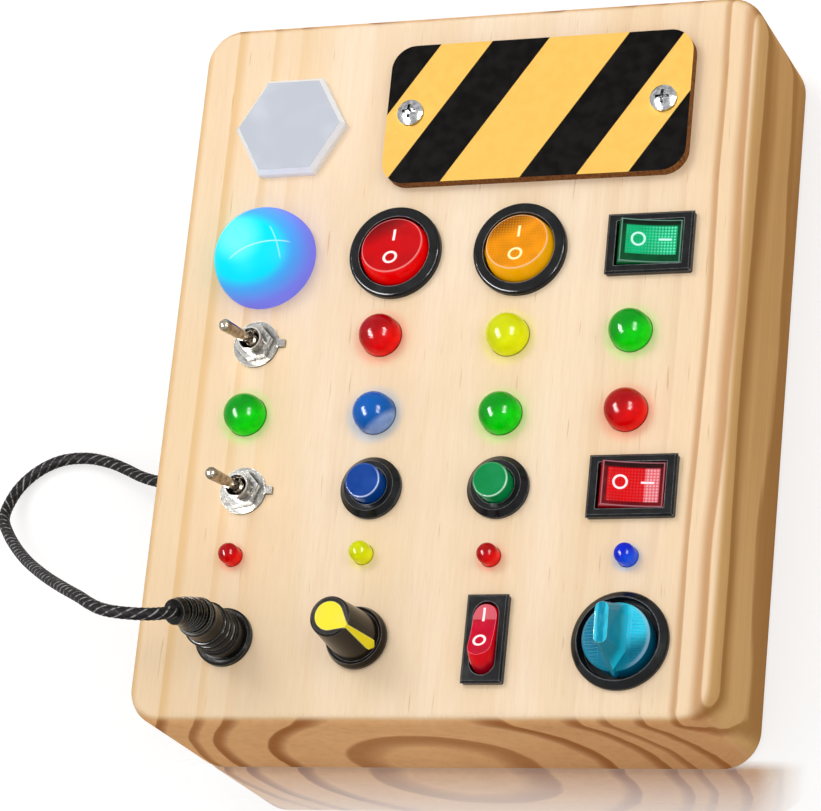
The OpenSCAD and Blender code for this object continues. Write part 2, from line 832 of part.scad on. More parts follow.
module button_spring(at) color([0.7, 0.7, 0.72]) on_front(at)
  translate([0, 0, button_floor_z])
    coil(button_spring_r, spring_wire_r, 6,
      button_collar_z[0] - button_floor_z);

module blue_button_body() button_body(blue_button_at);
module blue_button_cap() color([0, 0.25, 0.68]) button_cap(blue_button_at);
module blue_button_spring() button_spring(blue_button_at);
module green_button_body() button_body(green_button_at);
module green_button_cap() color([0, 0.5, 0.2]) button_cap(green_button_at);
module green_button_spring() button_spring(green_button_at);

module button_nuts() color([0.75, 0.75, 0.76])
  for (at = button_places) on_front(at)
    translate([0, 0, -front_wall - button_nut_t])
      hex_nut(button_nut_across, button_nut_t, button_barrel_r + seat_gap);

// --- dimmer ---------------------------------------------------------

module dimmer_body() color([0.75, 0.75, 0.72]) on_front(dimmer_at)
  difference() {
    union() {
      translate([0, 0, -front_wall - dimmer_body_l])
        cylinder(r = dimmer_body_r, h = dimmer_body_l);
      translate([0, 0, -front_wall])
        cylinder(r = dimmer_bushing_r, h = front_wall + dimmer_bushing_top);
      translate([-7, -dimmer_body_r - 3.5, -front_wall - dimmer_body_l])
        cube([14, 6, 1.6]);
    }
    translate([0, 0, -front_wall - 5])
      cylinder(r = dimmer_shaft_r + pin_gap,
        h = front_wall + 5 + dimmer_bushing_top + past);
  }

module dimmer_nut() color([0.8, 0.8, 0.8]) on_front(dimmer_at)
  hex_nut(dimmer_nut_across, dimmer_nut_t, dimmer_bushing_r + seat_gap);

module dimmer_shaft() color([0.8, 0.8, 0.8]) on_front(dimmer_at)
  translate([0, 0, -front_wall - 4.5])
    cylinder(r = dimmer_shaft_r, h = front_wall + 4.5 + dimmer_shaft_top);

// The pointer's inlay: a drop on top and a stripe down the side that
// widens to an arrow tip
module pointer_shape() {
  top_z = knob_top_z - 0.6;
  low_z = skirt_z[1] + pointer_tip_l + 0.4;
  hull() {
    translate([0, 0, top_z]) cylinder(r = pointer_disc_r, h = 0.8);
    translate([knob_top_r - 0.4, -0.4, top_z]) cube([0.6, 0.8, 0.8]);
  }
  hull() {
    translate([knob_top_r - 0.9, -0.4, top_z]) cube([1.1, 0.8, 0.8]);
    translate([knob_base_r - 0.9, -pointer_w / 2, low_z])
      cube([1.1, pointer_w, 0.6]);
    translate([knob_base_r - 0.9, -0.2, low_z - pointer_tip_l])
      cube([1.1, 0.4, 0.2]);
  }
}

module dimmer_knob() color([0.14, 0.13, 0.12]) on_front(dimmer_at)
  difference() {
    rotate_extrude() polygon([
      [0, skirt_z[0]], [skirt_r, skirt_z[0]], [skirt_r, 1.6],
      [skirt_r - 0.5, skirt_z[1]], [knob_base_r, skirt_z[1] - 0.4],
      [knob_base_r - 0.1, skirt_z[1]], [knob_top_r, knob_top_z - 0.5],
      [knob_top_r - 0.5, knob_top_z], [0, knob_top_z]
    ]);
    translate([0, 0, skirt_z[0] - past])
      cylinder(r = dimmer_nut_across / sqrt(3) + run_gap, h = 3.3);
    cylinder(r = dimmer_shaft_r + fit_gap, h = dimmer_shaft_top);
    rotate([0, 0, pointer_angle]) pointer_shape();
  }

module dimmer_pointer() color([0.99, 0.93, 0.12]) on_front(dimmer_at)
  rotate([0, 0, pointer_angle]) pointer_shape();

// --- rotary switch --------------------------------------------------

module rotary_housing() color([0.12, 0.12, 0.13]) on_front(rotary_at)
  rotate_extrude() difference() {
    union() {
      polygon([
        [0, 0], [bezel_r, 0], [bezel_r, 0.9], [bezel_r - 0.3, 1.4],
        [bezel_r - 1.6, rotary_rim_z], [bezel_r - 1.8, rotary_rim_z],
        [rotary_opening_r, rotary_rim_z - rotary_rim_drop],
        [0, rotary_rim_z - rotary_rim_drop]
      ]);
      translate([0, -housing_l]) square([round_body_r, housing_l]);
    }
    translate([0, rotary_recess_z]) square([rotary_opening_r, 10]);
    translate([0, -front_wall - rotary_spindle_l])
      square([rotary_spindle_r + pin_gap, rotary_spindle_l + front_wall]);
  }

// A fluted disc under a tall blade, whose front slopes down to a point
module rotary_knob() color([0, 0.66, 0.85]) on_front(rotary_at) {
  disc_top = rotary_disc_z[1];
  difference() {
    rotate_extrude() polygon([
      [0, rotary_disc_z[0]], [rotary_knob_r, rotary_disc_z[0]],
      [rotary_knob_r, disc_top], [rotary_knob_r - 0.6, disc_top + 0.6],
      [flute_in, disc_top + 0.9], [0, disc_top + 0.9]
    ]);
    for (i = [-7:7], side = [-1, 1])
      translate([side * flute_in, i * flute_pitch, disc_top + 0.8])
        rotate([0, side * 90, 0]) cylinder(r = flute_r, h = rotary_knob_r);
  }
  hull() {
    for (y = ridge_y)
      translate([0, y, rotary_ridge_z - 0.8 + (y > 0 ? 0.4 : 0)])
        cylinder(r = ridge_w / 2, h = 0.4, $fn = 12);
    translate([-blade_foot.x / 2, blade_foot_y, disc_top - 1])
      cube([blade_foot.x, blade_foot.y, 1.2]);
    translate([-blade_side.x / 2, blade_foot_y + 0.4, disc_top - 1])
      cube([blade_side.x, blade_side.y, 0.6]);
    translate([-0.3, nose_y, disc_top - 2]) cube([0.6, 0.4, 1]);
  }
  translate([0, 0, rotary_disc_z[0] - rotary_spindle_l])
    cylinder(r = rotary_spindle_r, h = rotary_spindle_l + 0.5);
}

// --- power socket and plug ------------------------------------------

module socket_body() color([0.1, 0.1, 0.1]) on_front(socket_at)
  difference() {
    rotate_extrude() {
      translate([0, -socket_barrel_l])
        square([socket_barrel_r, socket_barrel_l]);
      polygon([
        [0, 0], [socket_flange_r, 0], [socket_flange_r, 1.2],
        [socket_flange_r - 0.6, socket_flange_t], [0, socket_flange_t]
      ]);
    }
    translate([0, 0, socket_flange_t - socket_bore_l - 1])
      cylinder(r = socket_bore_r, h = socket_bore_l + 1 + past);
  }

module socket_nut() color([0.75, 0.75, 0.76]) on_front(socket_at)
  translate([0, 0, -front_wall - socket_nut_t])
    hex_nut(socket_nut_across, socket_nut_t, socket_barrel_r + seat_gap);

module socket_contact() color([0.85, 0.8, 0.6]) on_front(socket_at)
  translate([0, 0, socket_flange_t - socket_bore_l - 1])
    cylinder(r = socket_pin_r, h = socket_bore_l - 1);

// Places a piece along the arc of the neck, from 0 at the collar to 1 at
// the cord
module on_neck(t) {
  a = t * neck_bend;
  translate([0, 0, plug_collar_z]) rotate([0, 0, neck_lean])
    translate([neck_arc_r * (1 - cos(a)), 0, neck_arc_r * sin(a)])
      rotate([0, a, 0]) rotate([0, 0, -neck_lean]) children();
}

// The neck tapers to the cord. Slots part it into discs on a thin core,
// joined by webs that turn by a right angle each time, so that it gives
// way sideways
module plug_neck() {
  step = 1 / neck_parts;
  part_l = neck_l * step;
  last = neck_parts - 1;
  translate([0, 0, plug_collar_z]) rotate([0, 0, neck_lean])
    translate([neck_arc_r, 0, 0]) mirror([1, 0, 0]) rotate([90, 0, 0])
      rotate_extrude(angle = neck_bend * last * step)
        translate([neck_arc_r, 0]) circle(neck_core_r);
  translate([0, 0, plug_collar_z - neck_sink])
    cylinder(r = neck_r, h = neck_sink + part_l - slot_t);
  for (i = [1:last - 1]) on_neck(i * step)
    cylinder(r1 = neck_disc_r(i), r2 = neck_disc_r(i + 1),
      h = part_l - slot_t);
  on_neck(1) translate([0, 0, -part_l])
    cylinder(r1 = neck_disc_r(last), r2 = neck_end_r, h = part_l);
  for (i = [1:last]) on_neck(i * step) rotate([0, 0, 45 + 90 * (i % 2)])
    translate([0, 0, -slot_t / 2])
      cube([neck_web, 2 * neck_disc_r(i) - 2, slot_t + 2 * web_sink],
        center = true);
}
function neck_disc_r(i) = neck_r - i * (neck_r - neck_end_r) / neck_parts;

// The grip has raised rings for the fingers and ends in a rolled collar
module plug_body() color([0.1, 0.1, 0.1]) on_front(socket_at) difference() {
  union() {
    rotate_extrude() {
      polygon([
        [0, socket_flange_t], [plug_r - 0.4, socket_flange_t],
        [plug_r, socket_flange_t + 0.6], [plug_r - 0.1, 4.6],
        [plug_r - 0.6, 5.2], [plug_collar_r - 0.1, plug_collar_z - 2],
        [plug_collar_r, plug_collar_z - 0.6],
        [plug_collar_r - 0.3, plug_collar_z],
        [0, plug_collar_z + 0.2]
      ]);
      for (z = plug_ring_z) translate([plug_r - 0.9, z]) circle(0.6, $fn = 24);
    }
    plug_neck();
  }
  translate([0, 0, socket_flange_t - past])
    cylinder(r = barrel_r + fit_gap, h = 3 + past);
}

module plug_barrel() color([0.8, 0.8, 0.82]) on_front(socket_at)
  translate([0, 0, socket_flange_t - barrel_l]) difference() {
    cylinder(r = barrel_r, h = barrel_l + 3);
    translate([0, 0, -past]) cylinder(r = barrel_bore_r, h = barrel_l + 2);
  }

module cord() color([0.12, 0.12, 0.12])
  tube(smooth_path(cord_points, cord_steps), cord_r, cord_sides, [0, 1, 0]);

module cord_bushing() color([0.1, 0.1, 0.1]) translate(cord_exit)
  rotate([0, 90, 0]) {
    cylinder(r = bushing_out_r, h = side_wall);
    translate([0, 0, side_wall]) cylinder(r = bushing_out_r + 1.5, h = 2);
  }

// --- lamps ----------------------------------------------------------

// A round-topped lamp pushed through from behind, up to its flange
module lamp(at, r, above) on_front(at) rotate_extrude() {
  translate([0, -front_wall - lamp_foot])
    square([r, front_wall + lamp_foot + above]);
  translate([0, -front_wall - lamp_foot])
    square([r + lamp_flange, lamp_foot]);
  translate([0, above]) intersection() {
    circle(r);
    square(r);
  }
}

module big_lamps(places) for (at = places) lamp(at, big_lamp_r, big_lamp_h);
module small_lamps(places)
  for (at = places) lamp(at, small_lamp_r, small_lamp_h);

module big_lamps_red() color([0.9, 0, 0]) big_lamps(big_red_at);
module big_lamp_yellow() color([0.8, 0.85, 0]) big_lamps(big_yellow_at);
module big_lamps_green() color([0, 0.8, 0.1]) big_lamps(big_green_at);
module big_lamp_blue() color([0.1, 0.45, 0.85]) big_lamps(big_blue_at);
module small_lamps_red() color([0.9, 0, 0]) small_lamps(small_red_at);
module small_lamp_yellow() color([0.8, 0.85, 0])
  small_lamps(small_yellow_at);
module small_lamp_blue() color([0.1, 0.45, 0.85])
  small_lamps(small_blue_at);

// --- power inside ---------------------------------------------------

module on_panel() {
  translate([battery_at.x, battery_at.y, panel_t]) children();
}

module battery_box() color([0.1, 0.1, 0.1]) on_panel() {
  difference() {
    translate([0, 0, box_size.z / 2]) cube(box_size, center = true);
    translate([0, 0, (box_size.z - box_wall) / 2 - past / 2])
      cube([box_size.x - 2 * box_wall, box_size.y - 2 * box_wall,
        box_size.z - box_wall + past], center = true);
  }
  difference() {
    cylinder_h = box_size.z - box_wall;
    translate([boss_x, 0, 0]) cylinder(r = 2.4, h = cylinder_h + 0.5);
    translate([boss_x, 0, -past])
      cylinder(r = door_screw_r + seat_gap, h = 9);
  }
}

module battery_door() color([0.12, 0.12, 0.12]) difference() {
  translate([battery_at.x, battery_at.y, door_size.z / 2])
    cube(door_size, center = true);
  translate([battery_at.x + boss_x, battery_at.y, -past])
    cylinder(r = door_screw_r + seat_gap, h = panel_t + 2 * past);
  translate([battery_at.x + boss_x, battery_at.y, -past])
    cylinder(r = 2.3, h = past + 1);
}

module door_screw() color([0.75, 0.75, 0.76])
  translate([battery_at.x + boss_x, battery_at.y, 0]) {
    difference() {
      translate([0, 0, 0.2]) cylinder(r = 2.1, h = 0.8);
      mirror([0, 0, 1]) translate([0, 0, -0.2]) cross_recess(2.4, 0.6, 0.5);
    }
    translate([0, 0, 1]) cylinder(r = door_screw_r, h = 8);
  }

// Two cells side by side, head to tail
module battery_cells() color([0.2, 0.35, 0.6])
  for (side = [-1, 1])
    translate([battery_at.x, battery_at.y + side * (cell_r + 0.2), cell_z])
      rotate([0, side * 90, 0]) rotate_extrude() {
        translate([0, -cell_l / 2]) square([cell_r, cell_l - 1.2]);
        translate([0, cell_l / 2 - 1.2]) square([2.7, 1.2]);
      }

module battery_contacts() color([0.8, 0.78, 0.7])
  for (end = [-1, 1], side = [-1, 1])
    translate([battery_at.x + end * (box_size.x / 2 - box_wall - 0.3),
      battery_at.y + side * (cell_r + 0.2), cell_z])
      rotate([0, -end * 90, 0]) {
        translate([-4.5, -4.5, -0.25]) cube([9, 9, contact_t]);
        if (end == side) translate([0, 0, 0.25])
          cylinder(r = 2.2, h = box_size.x / 2 - box_wall - cell_l / 2 - 0.6);
        else translate([0, 0, 0.25]) coil(3.2, 0.35, 3,
          box_size.x / 2 - box_wall - cell_l / 2 - 0.6, 10);
      }

// Flat tags under the switches and wire legs under the lamps
module tag_pair(at, top, dx, dy)
  for (side = [-1, 1])
    on_front(at) translate([side * dx, side * dy, top - tag_l / 2])
      cube([dx > 0 ? tag_t : tag_w, dx > 0 ? tag_w : tag_t, tag_l],
        center = true);

module lead_pair(at, gap)
  for (side = [-1, 1])
    on_front(at)
      translate([side * gap / 2, 0, -front_wall - lamp_foot - lead_l / 2])
        cube([lead_w, lead_w, lead_l], center = true);

module solder_tags() color([0.8, 0.78, 0.7]) {
  for (at = [red_at, amber_at, rotary_at, slim_at])
    tag_pair(at, -housing_l, 0, 4.5);
  for (at = [green_at, crimson_at]) tag_pair(at, -housing_l, 4.5, 0);
  for (at = button_places) tag_pair(at, -button_barrel_l, 0, 2.5);
  for (at = toggle_places)
    tag_pair(at, -front_wall - toggle_plate_t - toggle_body.z, 4.7, 0);
  for (at = all_big_at) lead_pair(at, 2.54);
  for (at = all_small_at) lead_pair(at, 2.54);
}

// One hookup wire, hanging in a shallow bow between two soldered ends
wire_r = 0.7;
function wire_path(a, b, bow) = [
  for (i = [0:10]) let (t = i / 10)
    a + (b - a) * t - [0, 0, bow * sin(180 * t)]
];

module hookup_wire(a, b, bow) {
  tube(wire_path(a, b, bow), wire_r, 6, [0.3, 0.2, 1]);
}

// The ends of the wires, just under the tags and legs
function under_tag(at, side) = [at.x + 2.2, at.y + side * 4.5,
  front - housing_l - tag_l - 0.6];
function under_lamp(at, side) = [at.x + side * 1.27, at.y,
  front - front_wall - lamp_foot - lead_l - wire_r - 0.2];

module hookup_wires() color([0.7, 0.05, 0.05]) {
  for (pair = [[red_at, amber_at], [slim_at, rotary_at]])
    hookup_wire(under_tag(pair[0], -1), under_tag(pair[1], -1), 2);
  for (pair = [
    [big_red_at[0], big_yellow_at[0]], [big_yellow_at[0], big_green_at[0]],
    [big_green_at[1], big_blue_at[0]], [big_blue_at[0], big_green_at[2]],
    [small_red_at[0], small_yellow_at[0]],
    [small_yellow_at[0], small_red_at[1]],
    [small_red_at[1], small_blue_at[0]]
  ])
    hookup_wire(under_lamp(pair[0], 1) + [0.8, 0, 0],
      under_lamp(pair[1], -1) - [0.8, 0, 0], 3);
}

wood_case();
back_panel();
panel_screws();
striped_plate();
plate_screws();
mirror_tile();
dome_lens();
dome_light_board();
red_rocker_housing();
red_rocker();
amber_rocker_housing();
amber_rocker();
green_rocker_housing();
green_rocker();
crimson_rocker_housing();
crimson_rocker();
slim_rocker_housing();
slim_rocker();
toggle_bodies();
toggle_bushings();
toggle_nuts();
toggle_washers();
upper_toggle_lever();
lower_toggle_lever();
blue_button_body();
blue_button_cap();
blue_button_spring();
green_button_body();
green_button_cap();
green_button_spring();
button_nuts();
dimmer_body();
dimmer_nut();
dimmer_shaft();
dimmer_knob();
dimmer_pointer();
rotary_housing();
rotary_knob();
socket_body();
socket_nut();
socket_contact();
plug_body();
plug_barrel();
cord();
cord_bushing();
big_lamps_red();
big_lamp_yellow();
big_lamps_green();
big_lamp_blue();
small_lamps_red();
small_lamp_yellow();
small_lamp_blue();
battery_box();
battery_door();
door_screw();
battery_cells();
battery_contacts();
solder_tags();
hookup_wires();
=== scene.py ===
"""Looks of the wooden busy board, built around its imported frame.

Objects are in metres, in the part's own frame. Materials work in millimetres.
"""

import math

import bmesh
import bpy
from mathutils import Matrix, Vector


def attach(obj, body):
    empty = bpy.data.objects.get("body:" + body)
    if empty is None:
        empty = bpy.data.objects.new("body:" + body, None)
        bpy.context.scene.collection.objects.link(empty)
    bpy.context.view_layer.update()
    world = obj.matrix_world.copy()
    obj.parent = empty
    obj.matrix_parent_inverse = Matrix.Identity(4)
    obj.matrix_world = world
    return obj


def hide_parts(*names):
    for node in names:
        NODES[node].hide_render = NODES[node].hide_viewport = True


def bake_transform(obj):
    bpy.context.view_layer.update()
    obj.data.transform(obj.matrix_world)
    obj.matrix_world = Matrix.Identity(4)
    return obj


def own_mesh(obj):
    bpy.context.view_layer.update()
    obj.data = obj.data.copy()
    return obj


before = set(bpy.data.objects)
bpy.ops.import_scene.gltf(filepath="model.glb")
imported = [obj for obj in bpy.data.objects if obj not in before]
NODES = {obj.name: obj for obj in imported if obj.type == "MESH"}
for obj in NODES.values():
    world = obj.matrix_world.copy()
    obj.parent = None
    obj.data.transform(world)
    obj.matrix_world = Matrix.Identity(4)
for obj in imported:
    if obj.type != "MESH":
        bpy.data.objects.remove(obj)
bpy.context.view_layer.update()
MM = 0.001

# Centres of the controls on the front, in mm, as in the part's source
FRONT_Z = 42
PIVOT_Z = 41.5
PLATE = (18, 61.5)
DOME = (-48.5, 26.5)
RED, AMBER = (-15, 26.5), (16.5, 26)
GREEN, CRIMSON = (48.5, 26), (49, -33.5)
SLIM = (17, -69.5)
BLUE_BUTTON, GREEN_BUTTON = (-15, -32.5), (16.5, -33)
ROTARY = (49, -70)
BIG_LAMPS = {
    "red": ((-16.5, 5.5), (46, -15)),
    "yellow": ((15.5, 4.5),),
    "green": ((45.5, 4.5), (-49, -13.5), (15.5, -15)),
    "blue": ((-16, -14),),
}
SMALL_LAMPS = {
    "red": ((-48.5, -48.5), (16, -49.5)),
    "yellow": ((-15.5, -48.5),),
    "blue": ((49, -50),),
}
BIG, SMALL = 5, 2.5

# The rest tilt of the rockers, in degrees
ROCKER_TILT, SLIM_TILT = 12, 16


def linear(colour):
    """A colour given as 0 to 255 sRGB, as the linear RGBA of a shader socket."""
    part = [c / 255 for c in colour]
    return [c / 12.92 if c <= 0.04045 else ((c + 0.055) / 1.055) ** 2.4 for c in part] + [1]


def add_object(name, data):
    """A new object of the scene with this data."""
    added = bpy.data.objects.new(name, data)
    bpy.context.collection.objects.link(added)
    return added


# --- the camera ---------------------------------------------------------


def make_camera():
    image_width, focal, sensor = 821, 3944.03, 36
    place = Vector((322.48, -312.55, 850.57))
    right = Vector((0.933581, 0.096316, -0.345180))
    down = Vector((-0.027997, -0.940659, -0.338197))
    forward = Vector((-0.357270, 0.325398, -0.875485))
    data = bpy.data.cameras.new("camera")
    data.sensor_width, data.lens = sensor, focal / image_width * sensor
    camera = add_object("camera", data)
    turn = Matrix((right, -down, -forward)).transposed().to_4x4()
    camera.matrix_world = Matrix.Translation(place * MM) @ turn
    bpy.context.scene.camera = camera


# --- materials ----------------------------------------------------------


class Val:
    """A number in a material's tree, with the usual operators."""

    def __init__(self, shade, socket):
        self.shade, self.socket = shade, socket

    def op(self, operation, *others):
        node = self.shade.node("Math", operation=operation)
        for socket, value in zip(node.inputs, (self, *others)):
            self.shade.feed(socket, value)
        return Val(self.shade, node.outputs[0])

    def __add__(self, other):
        return self.op("ADD", other)

    def __sub__(self, other):
        return self.op("SUBTRACT", other)

    def __mul__(self, other):
        return self.op("MULTIPLY", other)

    def __truediv__(self, other):
        return self.op("DIVIDE", other)

    def __pow__(self, other):
        return self.op("POWER", other)

    def __abs__(self):
        return self.op("ABSOLUTE")

    def fraction(self):
        return self.op("FRACT")

    def sine(self):
        return self.op("SINE")

    def most(self, other):
        return self.op("MAXIMUM", other)

    def far(self, other):
        """The distance from the origin, with self and other as x and y."""
        return (self * self + other * other) ** 0.5

    def step(self, low, high):
        """0 below low and 1 above high, or the other way round where low is the larger."""
        node = self.shade.node("MapRange", interpolation_type="SMOOTHSTEP")
        for socket, value in zip(node.inputs, (self, low, high)):
            self.shade.feed(socket, value)
        return Val(self.shade, node.outputs[0])

    def line(self, at, half, soft=0.08):
        """1 within half of at, and 0 elsewhere."""
        return abs(self - at).step(half + soft, half - soft)


def strongest(values):
    """The largest of several numbers of one material."""
    found, *others = values
    for value in others:
        found = found.most(value)
    return found


class Shade:
    """A procedural material while it is built."""

    SAMPLES = 6

    def __init__(self, name, colour, roughness=0.5, specular=0.2, metallic=0.0):
        self.material = bpy.data.materials.new(name)
        self.material.use_nodes = True
        self.tree = self.material.node_tree
        self.shader = self.tree.nodes["Principled BSDF"]
        self.shader.inputs["Roughness"].default_value = roughness
        self.shader.inputs["Specular IOR Level"].default_value = specular
        self.shader.inputs["Metallic"].default_value = metallic
        self.paint(linear(colour))
        texture = self.node("TexCoord")
        scaled = self.node("VectorMath", operation="SCALE")
        scaled.inputs["Scale"].default_value = 1 / MM
        self.feed(scaled.inputs[0], texture.outputs["Object"])
        self.mm = scaled.outputs[0]

    def node(self, kind, **settings):
        node = self.tree.nodes.new("ShaderNode" + kind)
        for key, value in settings.items():
            setattr(node, key, value)
        return node

    def feed(self, socket, value):
        if isinstance(value, Val):
            value = value.socket
        if isinstance(value, bpy.types.NodeSocket):
            self.tree.links.new(value, socket)
        else:
            socket.default_value = value

    def parts(self, vector):
        node = self.node("SeparateXYZ")
        self.feed(node.inputs[0], vector)
        return [Val(self, out) for out in node.outputs]

    def place(self, at=(0, 0)):
        """x, y and z in mm, from the point at on the front."""
        x, y, z = self.parts(self.mm)
        return x - at[0], y - at[1], z - FRONT_Z

    def normal(self):
        return self.parts(self.node("NewGeometry").outputs["Normal"])

    def edges(self, radius):
        """1 along the edges, to about radius mm from them."""
        flat, sharp = 0.97, 0.88
        bevel = self.node("Bevel", samples=self.SAMPLES)
        bevel.inputs["Radius"].default_value = radius * MM
        turned = self.node("VectorMath", operation="DOT_PRODUCT")
        self.feed(turned.inputs[0], bevel.outputs[0])
        self.feed(turned.inputs[1], self.node("NewGeometry").outputs["Normal"])
        return Val(self, turned.outputs["Value"]).step(flat, sharp)

    def crevices(self, reach):
        """1 in the corners, to about reach mm from them: the mask for painted shade."""
        lit, shaded = 0.9, 0.3
        node = self.node("AmbientOcclusion", samples=self.SAMPLES)
        node.inputs["Distance"].default_value = reach * MM
        return Val(self, node.outputs["AO"]).step(lit, shaded)

    def noise(self, scale, detail=2, low=None, high=None):
        """Noise from 0 to 1 that varies scale times per mm, along each axis where it has three."""
        stretched = self.node("VectorMath", operation="MULTIPLY")
        self.feed(stretched.inputs[0], self.mm)
        stretched.inputs[1].default_value = scale if isinstance(scale, tuple) else (scale,) * 3
        node = self.node("TexNoise")
        self.feed(node.inputs["Vector"], stretched.outputs[0])
        node.inputs["Scale"].default_value = 1
        node.inputs["Detail"].default_value = detail
        found = Val(self, node.outputs["Fac"])
        return found if low is None else found.step(low, high)

    def mix(self, factor, a, b):
        """Colour a where factor is 0, and b where it is 1."""
        node = self.node("Mix", data_type="RGBA")
        self.feed(node.inputs["Factor"], factor)
        for socket, colour in ((node.inputs[6], a), (node.inputs[7], b)):
            self.feed(socket, linear(colour) if isinstance(colour, tuple) else colour)
        return node.outputs[2]

    def paint(self, colour):
        self.feed(self.shader.inputs["Base Color"], colour)

    def gloss(self, low, high, factor):
        """Roughness from low to high."""
        self.feed(self.shader.inputs["Roughness"], factor * (high - low) + low)

    def glow(self, colour, strength):
        self.feed(self.shader.inputs["Emission Color"], colour)
        self.shader.inputs["Emission Strength"].default_value = strength

    def bump(self, height, depth):
        """Bump of up to depth mm."""
        node = self.node("Bump")
        node.inputs["Distance"].default_value = depth * MM
        self.feed(node.inputs["Height"], height)
        self.feed(self.shader.inputs["Normal"], node.outputs[0])

    def dress(self, *names):
        """This material on the nodes of these names."""
        for name in names:
            for slot in NODES[name].material_slots:
                slot.material = self.material


# --- wood ---------------------------------------------------------------

# Where the middle of the tree lies, in mm, and how far it wanders
PITH_X, PITH_Z, PITH_WANDER = -3.5, 7.2, 4

# Year rings of the wood, as radius, half width and darkness
YEAR_RINGS = (
    (21, 3.0, 0.6),
    (41, 1.4, 1.0),
    (54, 1.1, 0.9),
    (60, 0.8, 0.7),
    (68, 0.9, 0.9),
    (75.2, 0.6, 0.9),
    (79.8, 0.9, 1.0),
    (85.5, 0.8, 0.8),
)

# The lamps' light on the wood
HALOS = {
    "red": (255, 176, 140),
    "yellow": (248, 236, 130),
    "green": (214, 246, 150),
    "blue": (182, 206, 226),
}


def year_rings(pith):
    """1 in the dark late wood, which ends sharply on the outside of each ring."""
    rings = []
    for radius, half, dark in YEAR_RINGS:
        begun = pith.step(radius - 2.5 * half, radius)
        ended = pith.step(radius + half, radius + half / 2)
        rings.append(begun * ended * dark)
    return strongest(rings)


def lamp_light(s, wood):
    """The wood's colour with the lamps' light on it, close around each."""
    inner, outer, strength = 1.02, 1.62, 0.55
    for lamps, radius in ((BIG_LAMPS, BIG), (SMALL_LAMPS, SMALL)):
        for name, places in lamps.items():
            rings = []
            for at in places:
                x, y, _ = s.place(at)
                rings.append((x + 0.3).far(y + 0.2).step(radius * outer, radius * inner))
            wood = s.mix(strongest(rings) * strength, wood, HALOS[name])
    return wood


def pine_face(s, x, late, fibre, tone):
    """Pale wood, warmer towards both sides, where the rings show as streaks."""
    fine = s.noise((3.5, 0.12, 3.5), 2, 0.35, 0.7)
    resin = s.noise((1.4, 0.08, 1.4), 1, 0.7, 0.8)
    face = s.mix(tone, (254, 232, 205), (248, 221, 185))
    face = s.mix(abs(x).step(22, 66) * 0.4, face, (247, 210, 160))
    face = s.mix(fibre * 0.3, face, (243, 213, 176))
    face = s.mix(fine * 0.1, face, (214, 170, 124))
    face = s.mix(resin * 0.5, face, (208, 164, 112))
    streak = s.mix(x.step(10, 60), (234, 190, 128), (196, 138, 84))
    strong = x.step(-40, -58).most(x.step(56, 62)) * 0.6 + 0.14
    return lamp_light(s, s.mix(late * strong, face, streak)), fine


def pine_side(s, late, fibre, tone):
    """The long sides, darker than the face."""
    side = s.mix(tone * 0.5 + fibre * 0.2, (222, 177, 118), (202, 152, 93))
    return s.mix(late * 0.75, side, (158, 106, 52))


def pine_end(s, x, late, tone):
    """End grain, with dark rings and pores."""
    end = s.mix(s.noise(0.5, 4, 0.35, 0.75) * 0.35 + tone * 0.25, (240, 186, 130), (218, 160, 106))
    end = s.mix(late**0.5 * 0.85, end, (158, 92, 44))
    end = s.mix(x.step(-10, 70) * 0.3, end, (164, 96, 48))
    return s.mix(s.noise(3, 2, 0.6, 0.75) * 0.15, end, (150, 92, 52))


def pine():
    """Solid pine: year rings about a pith that runs along y, under the middle of the board."""
    s = Shade("pine", (253, 231, 203), 0.5, 0)
    x, _, z = s.parts(s.mm)
    wander = (s.noise((0.03, 0.008, 0.04), 3) - 0.5) * PITH_WANDER
    late = year_rings((x - PITH_X + wander).far(z - PITH_Z + wander))
    fibre = s.noise((0.9, 0.02, 0.9), 3, 0.3, 0.75)
    tone = s.noise((0.05, 0.008, 0.05), 3, 0.35, 0.65)
    face, fine = pine_face(s, x, late, fibre, tone)
    side, end = pine_side(s, late, fibre, tone), pine_end(s, x, late, tone)
    nx, ny, _ = s.normal()
    right, left, ends = nx.step(0.3, 0.8), nx.step(-0.8, -0.98), abs(ny)
    turned = right.most(left).most(ends.step(0.3, 0.8))
    s.paint(s.mix(turned, face, s.mix(ends.step(0.45, 0.85), side, end)))
    s.gloss(0.42, 0.6, fibre)
    s.bump(late * 0.4 + fine * 0.6 + fibre * 0.3, 0.03)
    s.dress("wood_case")


def plywood():
    s = Shade("plywood", (214, 178, 130), 0.6)
    streaks = s.noise((0.5, 0.03, 0.5), 4, 0.3, 0.7)
    s.paint(s.mix(streaks, (226, 194, 150), (190, 150, 104)))
    s.bump(streaks, 0.05)
    s.dress("back_panel")


# Where each black stripe begins and ends along the plate's middle line, and how the stripes lean
BLACK_STRIPES = ((-34, -20), (-6.9, 7.6), (27.6, 41.8), (54.6, 70))
STRIPE_LEAN = 0.68


